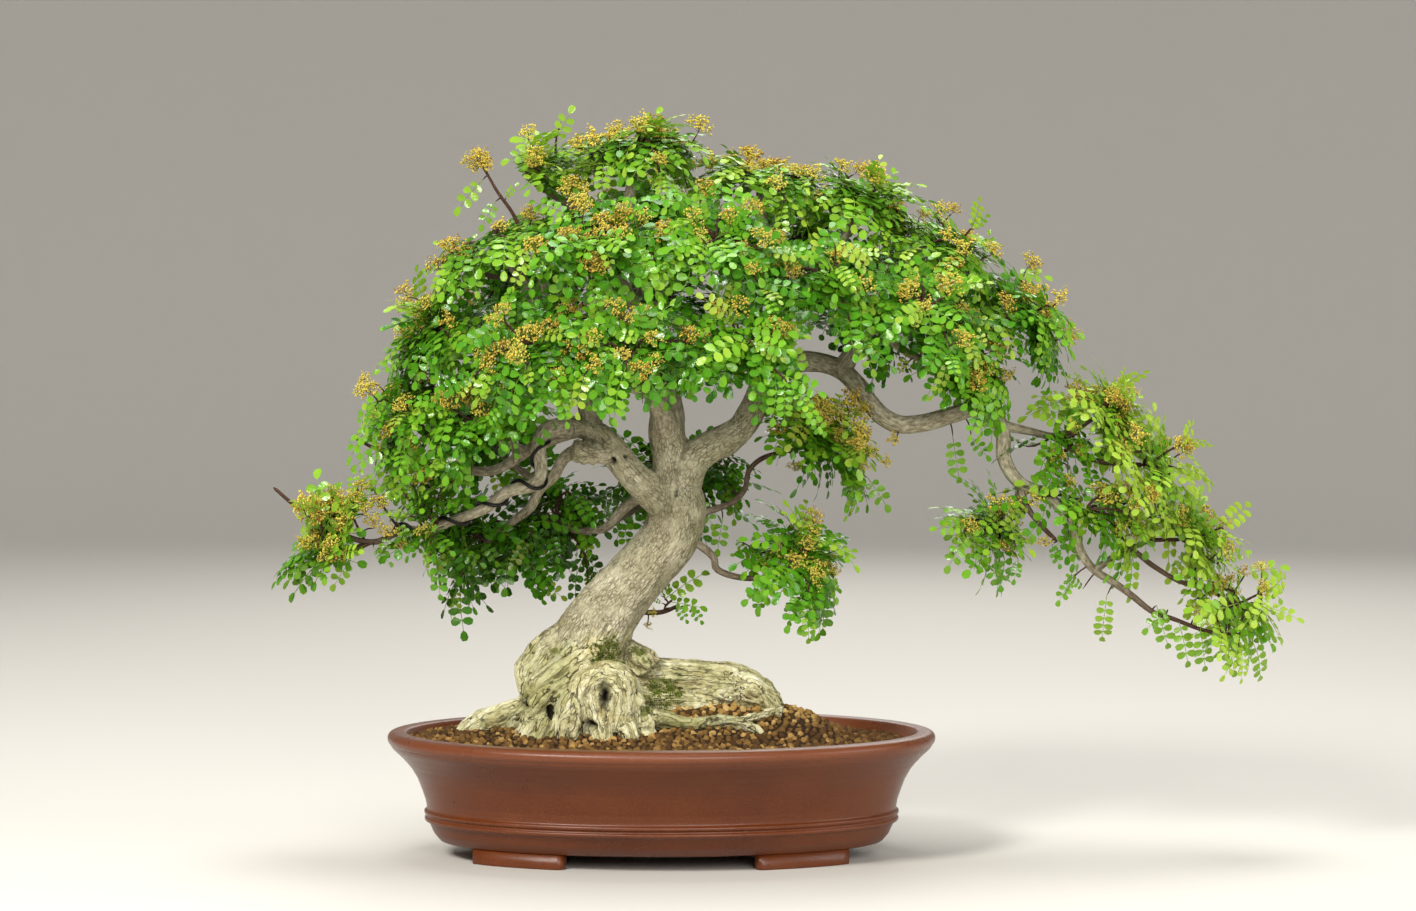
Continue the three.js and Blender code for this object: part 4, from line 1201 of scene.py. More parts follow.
def bakedClay(graph):
    place = graph.place()
    tone = graph.attribute("tone")
    height = graph.axis(place, 2)
    grain = graph.noise(place, 420.0, 3.0, 0.6)
    dry = graph.ramp(tone, (0.0, 108, 78, 38), (0.3, 138, 106, 54), (0.62, 166, 133, 74),
                     (0.9, 196, 166, 106))
    moist = graph.ramp(tone, (0.0, 62, 42, 22), (0.4, 92, 66, 34), (0.75, 126, 94, 48),
                       (1.0, 172, 136, 78))
    across = graph.axis(place, 0)
    patch = graph.noise(place, 14.0, 2.0) * 0.02 - 0.01
    dryness = graph.step(height + patch, 0.1, 0.112) * graph.step(across + patch * 2.0, 0.035, 0.02)
    colour = graph.mix(dryness, moist, dry)
    far = graph.step(across + patch * 2.0, 0.035, 0.05)
    colour = graph.mix(far * 0.6, colour, rgb(74, 48, 24))
    colour = graph.mix(graph.step(grain, 0.35, 0.7) * 0.22, colour, rgb(92, 62, 30))
    # painted shade: the bed between the granules nearly black
    bed = graph.attribute("cover")
    colour = graph.mix(graph.step(bed, 0.2, 0.8) * 0.8, colour, rgb(34, 22, 12))
    relief = graph.bump(grain, 0.6, 0.0008)
    return {"Base Color": colour, "Roughness": 0.92, "Normal": relief, "Specular IOR Level": 0.2}


akadama = finishOf("bakedClay", bakedClay)


def makeSoil():
    rimX, gap = soilLook["rimX"], soilLook["gap"]
    rimY = depthOf(rimX + potLook["wall"] + gap) - potLook["wall"] - gap
    rings, sides = soilLook["rings"], soilLook["sides"]
    points = []
    for ring in range(rings + 1):
        share = max(ring / rings, 0.0004)
        points += ringAt(rimX * share, rimY * share, 0.0, sides)
    cover = [1.0] * len(points)
    points = np.array(points)
    points[:, 2] = soilHeight(points[:, 0], points[:, 1]) - soilLook["bedDepth"]
    points[:, 2] += 1.6 * (fractalNoise(points * 0.09, 2, 3) - 0.5)
    skirt = []
    for halfX, height in soilLook["below"]:
        halfY = depthOf(halfX + potLook["wall"]) - potLook["wall"] - gap
        skirt += ringAt(halfX - gap, halfY, height, sides)
    cover += [0.0] * len(skirt)
    # the rings run outwards and then down, so their faces are turned round
    faces = [[a, d, c, b] for a, b, c, d in wallOf(rings + 3, sides)]
    faces.append([len(points) + sides + k for k in range(sides)][::-1])
    bed = Part()
    bed.add(np.concatenate([points, np.array(skirt)]), faces, cover=cover,
            tone=np.full(len(cover), soilLook["bedShadeTone"]))
    shapes = granuleShapes()
    tree = scatterTree("strewGranules")
    soil = runTree(makeObject(bed.mesh("soilBed")), tree, {
        "Shapes": shapes, "Density": soilLook["perSquareMetre"], "Apart": soilLook["apart"],
        "Smallest": soilLook["smallest"], "Largest": soilLook["largest"], "Seed": soilLook["seed"],
        "Finish": akadama}, "granules")
    attach(soil, "akadama_soil", "soil")
    emptied(shapes)
    print("soil", len(soil.data.polygons), "faces")


makeSoil()


# Shapes set on spots

def plantTree(name):
    # shapes of a collection set on points that say which, how turned and how large
    graph, wanted = newTree(name, {
        "Spots": "Geometry", "Shapes": "Collection", "Size": "Float", "Finish": "Material"})

    def held(attribute, kind):
        return graph.node("GeometryNodeInputNamedAttribute", {"data_type": kind}, {"Name": attribute})

    shapes = graph.node("GeometryNodeCollectionInfo", None, {
        "Collection": wanted["Shapes"], "Separate Children": True, "Reset Children": True})
    turn = graph.node("FunctionNodeEulerToRotation", None, {0: held("turn", "FLOAT_VECTOR")})
    spots = graph.node("GeometryNodeMeshToPoints", None, {"Mesh": wanted["Spots"]})
    planted = graph.node("GeometryNodeInstanceOnPoints", None, {
        "Points": spots, "Instance": shapes, "Pick Instance": True,
        "Instance Index": held("pick", "FLOAT"), "Rotation": turn,
        "Scale": held("size", "FLOAT") * wanted["Size"]})
    real = graph.node("GeometryNodeRealizeInstances", None, {"Geometry": planted})
    return endTree(graph, real, wanted["Finish"])


plant = plantTree("plantShapes")


class Spots:
    # where leaves or flowers are set
    def __init__(self):
        self.places, self.turns, self.sizes, self.picks, self.tones, self.young = [], [], [], [], [], []

    def add(self, place, ahead, normal, size, pick, tone, young=0.0):
        ahead = unit(ahead)
        across = unit(np.cross(ahead, normal))
        normal = np.cross(across, ahead)
        turn = Matrix(np.stack([across, ahead, normal], axis=1).tolist()).to_euler()
        self.places.append(place)
        self.turns.append(list(turn))
        self.sizes.append(size)
        self.picks.append(pick)
        self.tones.append(tone)
        self.young.append(young)

    def grow(self, name, shapes, finish):
        points = Part()
        points.add(self.places, [], turn=self.turns, size=self.sizes, pick=self.picks,
                   tone=self.tones, young=self.young)
        return runTree(makeObject(points.mesh(name + "Spots")), plant, {
            "Shapes": shapes, "Size": 1.0, "Finish": finish}, name, True)


# Moss, and the hidden drainage pieces

mossLook = {
    "wider": 1.3, "tufts": 330, "shapes": 4, "seed": 31, "blades": 6, "tall": 1.7,
    "aside": {"moss_crotch": [-16, -12, -3]},
}


def mossGreen(graph):
    place = graph.place()
    tone = graph.attribute("tone")
    tuft = graph.noise(place, 500.0, 3.0, 0.7)
    colour = graph.ramp(tuft * 0.5 + tone * 0.5, (0.2, 48, 60, 14), (0.5, 86, 102, 28),
                        (0.8, 136, 142, 58))
    return {"Base Color": colour, "Roughness": 1.0, "Specular IOR Level": 0.1}


def tuftMesh(number):
    # a few short blades from one spot
    rng = random.Random(500 + number)
    part = Part()
    for _ in range(mossLook["blades"]):
        lean = np.array([rng.uniform(-0.9, 0.9), rng.uniform(-0.9, 0.9), 1.0])
        tip = unit(lean) * mossLook["tall"] * rng.uniform(0.6, 1.1)
        turn = rng.uniform(0, 2 * math.pi)
        foot = [np.array([math.cos(turn + k * 2.094), math.sin(turn + k * 2.094), -0.5]) * 0.62
                for k in range(3)]
        part.add([*foot, tip], [[0, 1, 3], [1, 2, 3], [2, 0, 3], [0, 2, 1]])
    return bpy.data.objects.new("tuft%d" % number, part.mesh("tuft%d" % number, False, True))


def makeMoss():
    finish = finishOf("mossGreen", mossGreen)
    shapes = gathered("tufts", mossLook["shapes"], tuftMesh)
    rng = random.Random(mossLook["seed"])
    for node in ("moss_crotch", "moss_right_root"):
        middle, half = boxOf(node)
        middle = middle + mossLook["aside"].get(node, [0, 0, 0])
        away = (trunkPoints - middle) / (half * mossLook["wider"])
        patchy = fractalNoise(trunkPoints * 0.16, 2, 5)
        fits = np.flatnonzero((np.linalg.norm(away, axis=1) < 0.1 + 1.5 * patchy)
                              & (trunkNormals[:, 2] > -0.35))
        spots = Spots()
        for index in rng.sample(list(fits), min(mossLook["tufts"], len(fits))):
            rise = trunkNormals[index] + np.array([0, -0.2, 0.5])
            spots.add(trunkPoints[index], np.cross(rise, [0.3, 0.9, 0.1]), rise,
                      rng.uniform(0.5, 1.1), rng.randrange(mossLook["shapes"]), rng.random())
        name = inCamel("tufts", node.split("_")[1:])
        attach(spots.grow(name, shapes, finish), "moss", node)
    emptied(shapes)


makeMoss()
screenFinish = finishOf("screenPlastic", lambda graph: {
    "Base Color": graph.mix(graph.noise(graph.place(), 300.0), rgb(22, 22, 22), rgb(44, 42, 40)),
    "Roughness": 0.6})
for side in ("left", "right"):
    for kind, finish in (("drain_mesh_", screenFinish), ("drain_clip_", wireFinish)):
        frame["nodes"][kind + side].material_slots[0].material = finish
print("moss and drains ready")


# Leaves: a compound leaf of small notched leaflets in pairs

leafLook = {
    "leafletLength": 10.0, "leafletWidth": 6.9, "pairGap": 7.9, "stalk": 6.5,
    "pairs": (3, 4, 4, 5, 3, 5, 4, 4),  # of leaflets, for each shape of leaf
    "sizes": (0.78, 0.95, 1.0, 1.0, 0.95, 0.9, 0.9),  # of the leaflets, from the foot on
    "stalkRadius": 0.45, "panicles": 5,
}


def addLeaflet(part, base, ahead, across, normal, length, width, mood):
    # two halves folded a little along the midrib, notched at the tip
    half = [(0.25, 0.37), (0.62, 0.5), (0.92, 0.30)]
    spine = [0.0, 0.5, 0.95]
    points, blade = [], []
    for share in spine:
        points.append(base + ahead * length * share - normal * length * 0.08 * share * share)
        blade.append((0.0, share, mood))
    for side in (-1, 1):
        for share, reach in half:
            lift = 0.17 * reach * width - 0.08 * length * share * share
            points.append(base + ahead * length * share + across * side * reach * width
                          + normal * lift)
            blade.append((side * reach * 2, share, mood))
    faces = [[0, 1, 3], [1, 4, 3], [1, 2, 4], [2, 5, 4], [0, 6, 1], [1, 6, 7], [1, 7, 2], [2, 7, 8]]
    part.add(points, faces, blade=blade)


def leafMesh(number):
    # local frame: Y along the leaf, Z out of its upper side
    rng = random.Random(100 + number)
    pairs = leafLook["pairs"][number]
    droop = rng.uniform(0.3, 1.1)
    sway = rng.uniform(-0.25, 0.25)
    part = Part()
    spot = np.zeros(3)
    pitch = rng.uniform(0.1, 0.35)
    yaw = 0.0
    spine = [spot.copy()]
    stops = pairs + 1
    step = leafLook["pairGap"] * rng.uniform(0.92, 1.05)
    for i in range(stops):
        gap = leafLook["stalk"] if i == 0 else step
        pitch -= droop / stops
        yaw += sway / stops
        ahead = np.array([math.sin(yaw) * math.cos(pitch), math.cos(yaw) * math.cos(pitch),
                          math.sin(pitch)])
        across = unit(np.cross(ahead, [0, 0, 1.0]))
        normal = np.cross(across, ahead)
        spot = spot + ahead * gap
        spine.append(spot.copy())
        size = leafLook["sizes"][i] * rng.uniform(0.94, 1.06)
        for side in ((-1, 1) if i < pairs else (0,)):
            mood = rng.random()
            if side:
                lean = rng.uniform(0.15, 0.42)
                out = unit(across * side + ahead * lean + normal * rng.uniform(-0.22, 0.12))
            else:
                out = unit(ahead + normal * rng.uniform(-0.2, 0.1))
            wide = unit(np.cross(out, normal))
            face = np.cross(wide, out)
            addLeaflet(part, spot, out, wide, face, leafLook["leafletLength"] * size,
                       leafLook["leafletWidth"] * size, mood)
    addStalk(part, [spine[0], spine[len(spine) // 2], spine[-1]], leafLook["stalkRadius"])
    made = part.mesh("leaf%d" % number, True, True)
    return bpy.data.objects.new("leaf%d" % number, made)


def addStalk(part, spine, radius):
    points, blade, faces = [], [], []
    for i, spot in enumerate(spine):
        reach = radius * (1 - 0.5 * i / len(spine))
        for k in range(3):
            turn = 2 * math.pi * k / 3
            points.append(spot + np.array([math.cos(turn), 0, math.sin(turn)]) * reach)
            blade.append((0.0, 0.5, 0.3))
        if i:
            for k in range(3):
                after = (k + 1) % 3
                faces.append([3 * (i - 1) + k, 3 * i + k, 3 * i + after, 3 * (i - 1) + after])
    part.add(points, faces, blade=blade)


def panicleMesh(number):
    # an open froth of tiny buds on forked stalks, rising along Z
    rng = random.Random(300 + number)
    part = Part()
    bud = np.array([(1, 1, 1), (-1, -1, 1), (-1, 1, -1), (1, -1, -1)]) * 0.6
    budFaces = [[0, 2, 1], [0, 1, 3], [0, 3, 2], [1, 2, 3]]
    forks = rng.randint(9, 11)
    for fork in range(forks):
        turn = 2.4 * fork + rng.uniform(-0.4, 0.4)
        rise = 1.5 + 7.5 * fork / forks * rng.uniform(0.7, 1.2)
        spread = rng.uniform(3.0, 8.4) * (1 - 0.5 * fork / forks)
        hub = np.array([math.cos(turn) * spread, math.sin(turn) * spread, rise + rng.uniform(0, 3)])
        addStalk(part, [np.array([0, 0, rise * 0.6]), hub], 0.26)
        for _ in range(rng.randint(8, 11)):
            away = np.array([rng.uniform(-1, 1), rng.uniform(-1, 1), rng.uniform(-0.7, 1)])
            spot = hub + unit(away) * rng.uniform(0.6, 3.8)
            part.add(bud * rng.uniform(0.7, 1.15) + spot, budFaces,
                     blade=np.tile([1.0, 1.0, rng.random()], (4, 1)))
    addStalk(part, [np.zeros(3), np.array([0, 0, 8.0])], 0.4)
    return bpy.data.objects.new("panicle%d" % number, part.mesh("panicle%d" % number, False, True))


def leafGreen(graph):
    tone = graph.attribute("tone")
    young = graph.attribute("young")
    blade = graph.attribute("blade", "Vector")
    across, mood = graph.axis(blade, 0), graph.axis(blade, 2)
    # the leaves' colour holds painted light and shade: darker inside and behind the crown, lighter at
    # the top and at the shoots' ends
    colour = graph.ramp(tone * 0.78 + mood * 0.22, (0.06, 20, 50, 8), (0.3, 44, 98, 14),
                        (0.54, 74, 142, 24), (0.78, 116, 172, 38), (0.95, 160, 192, 64))
    colour = graph.mix(young, colour, rgb(166, 184, 66))
    rib = graph.step(across.math("ABSOLUTE", across), 0.0, 0.09, 1.0, 0.0)
    colour = graph.mix(rib * 0.3, colour, rgb(150, 180, 60))
    patch = graph.noise(graph.place(), 260.0, 2.0)
    colour = graph.mix(graph.step(patch, 0.5, 0.75) * 0.25, colour, rgb(150, 146, 24))
    relief = graph.bump(graph.noise(graph.place(), 420.0, 2.0), 0.4, 0.0008)
    return {"Base Color": colour, "Roughness": 0.19, "Normal": relief, "Specular IOR Level": 0.36,
            "through": (colour, 0.24)}


def flowerOchre(graph):
    blade = graph.attribute("blade", "Vector")
    mood, bud = graph.axis(blade, 2), graph.axis(blade, 0)
    tone = graph.attribute("tone")
    colour = graph.ramp(mood * 0.6 + tone * 0.4, (0.06, 148, 108, 44), (0.3, 190, 165, 62),
                        (0.6, 218, 198, 84), (0.95, 176, 182, 82))
    colour = graph.mix(bud, rgb(134, 124, 62), colour)
    grain = graph.noise(graph.place(), 1200.0, 2.0)
    return {"Base Color": colour, "Roughness": 0.75, "Normal": graph.bump(grain, 0.4, 0.0005),
            "Specular IOR Level": 0.2}


leafFinish = finishOf("leafGreen", leafGreen)
flowerFinish = finishOf("flowerOchre", flowerOchre)

leafShapes = gathered("leafShapes", len(leafLook["pairs"]), leafMesh)
flowerShapes = gathered("flowerShapes", leafLook["panicles"], panicleMesh)

canopy = {
    "middle": [20, 0, 330], "half": [330, 185, 262],
    "depthLimit": 164,  # from the middle of the whole plant
}


def outward(spot):
    # the canopy's outward direction at a spot, never pointing down
    away = (np.array(spot) - canopy["middle"]) / np.array(canopy["half"]) ** 2
    away[2] = max(away[2], 0.25 * np.linalg.norm(away[:2])) + 0.001
    return unit(away)


def kept(spot, out, length):
    # a leaf's direction, turned back where the leaf would leave the canopy's depth
    tip = spot[1] + potMiddle[1] / mm + out[1] * length
    if abs(tip) > canopy["depthLimit"]:
        out = out * [1.0, -0.25, 1.0]
    return out


# where no leaf hangs: x, z, half sizes, and how far back
clearings = [[-122, 306, 30, 19, 0], [-98, 326, 14, 20, 0], [2, 350, 44, 18, 0], [62, 350, 26, 22, 0],
             [-152, 532, 46, 35, 200]]


def clear(spot):
    return all(spot[1] > back or ((spot[0] - x) / wide) ** 2 + ((spot[2] - z) / high) ** 2 > 1
               for x, z, wide, high, back in clearings)


def tie(twigs, spot, wood):
    # a thin stalk from the nearest wood to a leaf's or flower's foot
    near = wood[np.linalg.norm(wood - spot, axis=1).argmin()]
    gap = np.linalg.norm(spot - near)
    if gap > 0.8:
        bend = (near + spot) / 2 + np.array([0.06, 0.03, 0.12]) * gap
        addTube(twigs, [[*near, 0.7], [*bend, 0.6], [*spot, 0.5]], 4, max(3.0, gap / 4))
    return gap


# what a clump is unless its own row says otherwise
clumpLook = {
    "shoots": 12, "leaves": 11,  # leaves on each shoot
    "dome": 26, "wide": 1.0, "aside": [0, 0, 0],
    "hang": 0.5, "tilt": 0.8,  # how far leaves hang down, and turn to the front
    # light: painted light added to the leaves' colour, below zero for painted shade
    "light": 0.0, "young": 0.0,
    "flowers": 2, "bloom": 0.52,  # tries on each shoot, and how many of them come to flower
}
goldenTurn = 2.39996


def clumpPlace(node, look):
    # where the shoots start, and the clump's middle and half sizes
    if "half" in look:
        middle, half = np.array(look["middle"], dtype=float), np.array(look["half"], dtype=float)
        wood = np.concatenate(woodSpots)
        return wood[np.linalg.norm(wood - middle, axis=1).argmin()], middle, half
    middle, half = boxOf("foliage_" + node)
    return np.array(seat(node, 1)[:3]), middle + look["aside"], half * look["wide"]


def hangLeaves(leaves, look, rng, middle, up, flat, share, places):
    # leaves turn about along one shoot; those at its end point the way it runs
    ahead = framesAlong(places)[0]
    hang, count = look["hang"], look["leaves"]
    for k in range(count):
        at = 0.14 + 0.86 * (k + rng.uniform(0.1, 0.9)) / count
        index = min(int(at * (len(places) - 1)), len(places) - 1)
        spot = places[index]
        forward = ahead[index]
        flank = unit(np.cross(forward, up)) * (1 if k % 2 else -1)
        tipped = at > 0.88
        out = (forward * rng.uniform(0.2, 0.9) + flank * rng.uniform(0.4, 1.1)
               + up * rng.uniform(-0.3, 0.5) + unit(flat + 1e-6) * 0.3 * share)
        out = out + np.array([0, 0, -1.0]) * hang * rng.uniform(0.1, 1.1) * (0.3 + share)
        if tipped:
            out = forward + up * rng.uniform(-0.2, 0.7) + flank * rng.uniform(-0.7, 0.7)
        out = kept(spot, unit(out), 40)
        face = up + np.array([rng.uniform(-0.6, 0.6), rng.uniform(-look["tilt"], 0.2),
                              rng.uniform(-0.2, 0.6)])
        height = np.dot(spot - middle, up) / look["dome"]
        # painted light: leaves lighter toward the shoot's end, the dome's top and clumps facing up, plus
        # each clump's own painted light, below zero for shade
        light = 0.18 + 0.38 * smoothStep(0.12, 0.8, at) + 0.14 * height + rng.uniform(-0.16, 0.26)
        light += 0.14 * up[2] * (1 - share) + look["light"]
        young = rng.uniform(0.1, 0.7) if tipped and rng.random() < 0.5 else 0.0
        young = max(young, look["young"] * rng.random() * at)
        size = rng.uniform(0.66, 1.06) * (0.8 if tipped else 1.0)
        if not (clear(spot + out * 14) and clear(spot + out * 32)):
            continue
        leaves.add(spot, out, face, size, rng.randrange(len(leafLook["pairs"])), light, young)


def hangFlowers(flowers, twigs, look, rng, target, up, side, places):
    # flower clusters over the end of one shoot
    for _ in range(look["flowers"]):
        if rng.random() > look["bloom"]:
            continue
        rise = unit(up + np.array([rng.uniform(-0.5, 0.5), -0.5, 0.2]))
        spot = target + up * rng.uniform(-1, 7)
        spot = spot + np.array([rng.uniform(-11, 11), rng.uniform(-6, 0), rng.uniform(-6, 6)])
        if not clear(spot):
            continue
        tie(twigs, spot, places)
        flowers.add(spot, np.cross(rise, side), rise, rng.uniform(0.8, 1.35),
                    rng.randrange(leafLook["panicles"]), rng.random())


def growClump(node, look):
    # shoots from the limb's end to all parts of the clump, with their leaves and flowers
    look = {**clumpLook, **look}
    rng = random.Random(sum(map(ord, node)))
    start, middle, half = clumpPlace(node, look)
    up = outward(middle)
    side = unit(np.cross([0, 1.0, 0.001], up))
    deep = np.cross(up, side)
    reachSide = 1 / np.linalg.norm(side / half)
    reachDeep = 1 / np.linalg.norm(deep / half)
    dome, shoots = look["dome"], look["shoots"]
    leaves, flowers, twigs, routes = Spots(), Spots(), Part(), []
    for i in range(shoots):
        turn = goldenTurn * i + rng.uniform(-0.4, 0.4)
        share = math.sqrt((i + 0.6) / shoots) * rng.uniform(0.8, 1.24)
        flat = side * math.cos(turn) * reachSide * share + deep * math.sin(turn) * reachDeep * share
        stray = 14 if i % 4 == 2 and middle[2] < 520 else 0
        target = middle + flat * (1 + 0.012 * stray) + up * (dome * (0.62 - share ** 2 * 0.9)
                                                             + rng.uniform(-8, 9) + stray)
        if not clear([target[0], 100, target[2]]):
            continue
        bend = start + flat * 0.5 + up * (dome * 0.35) - np.array([0, 0, 2.0])
        droop = unit(flat + 1e-6) * 10 * share + up * 5 * (1 - share)
        droop = droop + np.array([rng.uniform(-7, 7), rng.uniform(-3, 3), -15.0 * look["hang"] * share])
        route = [[*start, 1.6], [*bend, 1.2], [*target, 0.9], [*(target + droop), 0.5]]
        places = addTube(twigs, route, 5, 6.0, seed=i)[0]
        routes.append(places)
        hangLeaves(leaves, look, rng, middle, up, flat, share, places)
        hangFlowers(flowers, twigs, look, rng, target, up, side, places)
    woodSpots.extend(routes)
    name = inCamel("", node.split("_"))
    held = [] if "half" in look else ["foliage_" + node]
    attach(leaves.grow("leaves" + name, leafShapes, leafFinish), "leaves", *held)
    attach(makeObject(twigs.mesh("twigs" + name), branchBark), "bark")
    return flowers if flowers.places else None


clumps = {
    "apex": {"tilt": 0.3, "light": 0.14, "young": 0.5, "flowers": 3},
    "top_left": {"tilt": 0.3, "light": 0.12, "young": 0.5},
    "top_right": {"tilt": 0.3, "light": 0.12, "young": 0.5, "flowers": 3},
    "top_far_right": {"tilt": 0.3, "light": 0.12, "young": 0.4},
    "shoulder": {"tilt": 0.3, "light": 0.1, "young": 0.3}, "right_end": {"hang": 0.8, "light": 0.05},
    "left_front_top": {"tilt": 0.3, "light": 0.08, "young": 0.2},
    "front_left_top": {"hang": 0.6, "flowers": 3},
    "front_right_top": {"hang": 0.6}, "front_right": {"hang": 0.7},
    "front_far_right": {"hang": 0.7}, "left": {"hang": 0.9, "light": 0.04},
    "front_left": {"hang": 1.0}, "front_middle": {"hang": 1.1, "bloom": 0.5},
    "front_low_right": {"hang": 1.1, "bloom": 0.4},
    "left_low": {"hang": 1.0}, "front_left_low": {"hang": 1.0, "bloom": 0.4},
    "right_middle": {"hang": 0.9},
    "rear_left": {"flowers": 1}, "rear_top": {"light": 0.06, "flowers": 1},
    "rear_right": {"flowers": 1}, "rear_far_right": {"flowers": 1},
    "rear_low_left": {"hang": 0.9, "light": -0.05, "flowers": 0},
    "rear_shaded": {"light": -0.16, "flowers": 0, "hang": 0.9, "leaves": 9},
    "rear_middle": {"light": -0.18, "flowers": 0, "hang": 0.9, "leaves": 9},
    "rear_inner": {"light": -0.16, "flowers": 0, "hang": 0.8, "leaves": 9},
    "inner_right": {"flowers": 3, "bloom": 0.85, "hang": 0.7, "dome": 32, "wide": 1.35, "light": 0.22,
                    "aside": [8, -22, 8]},
    "low_right": {"bloom": 0.4, "hang": 0.9, "light": 0.1, "leaves": 9},
    "left_tip": {"flowers": 3, "shoots": 10, "leaves": 8, "young": 0.6, "light": 0.16, "hang": -0.2,
                 "bloom": 0.8, "aside": [8, 0, 20], "wide": 1.1},
    "cascade_top": {"young": 0.3, "light": 0.5, "shoots": 11, "leaves": 9, "dome": 34},
    "cascade_middle": {"young": 0.25, "light": 0.5, "shoots": 11, "leaves": 9, "wide": 1.1},
    "cascade_lower": {"young": 0.3, "shoots": 9, "leaves": 9, "light": 0.52, "bloom": 0.4, "wide": 1.1},
    "cascade_inner": {"shoots": 8, "leaves": 8, "light": 0.26, "bloom": 0.4, "young": 0.3},
    "cascade_end": {"shoots": 8, "young": 0.25, "hang": 1.1, "light": 0.5, "bloom": 0.3, "leaves": 7},
    # leaves before the limb of the cascade and behind the left tip
    "fill_cascade_high": {"middle": [309, -12, 322], "half": [12, 12, 18], "shoots": 5, "leaves": 5,
                          "light": 0.06, "flowers": 1},
    "fill_cascade": {"middle": [322, -22, 282], "half": [19, 12, 17], "shoots": 5, "leaves": 5,
                     "light": 0.2, "hang": 0.9, "flowers": 1},
    "fill_cascade_low": {"middle": [362, -16, 272], "half": [26, 14, 18], "shoots": 6, "leaves": 6,
                         "light": 0.28, "hang": 0.9, "bloom": 0.6},
    "fill_left": {"middle": [-186, -36, 284], "half": [26, 14, 17], "shoots": 8, "leaves": 6,
                  "light": 0.08, "young": 0.4, "hang": -0.1, "bloom": 0.5},
    # leaves deep inside the crown, painted dark as shade
    "core_left": {"middle": [-60, 20, 440], "half": [40, 30, 30], "shoots": 8, "leaves": 8,
                  "light": -0.1, "flowers": 0},
    "core_middle": {"middle": [22, 16, 446], "half": [44, 30, 34], "shoots": 9, "leaves": 8,
                    "light": -0.1, "flowers": 0},
    "core_right": {"middle": [140, 24, 440], "half": [44, 30, 30], "shoots": 8, "leaves": 8,
                   "light": -0.1, "flowers": 0},
}
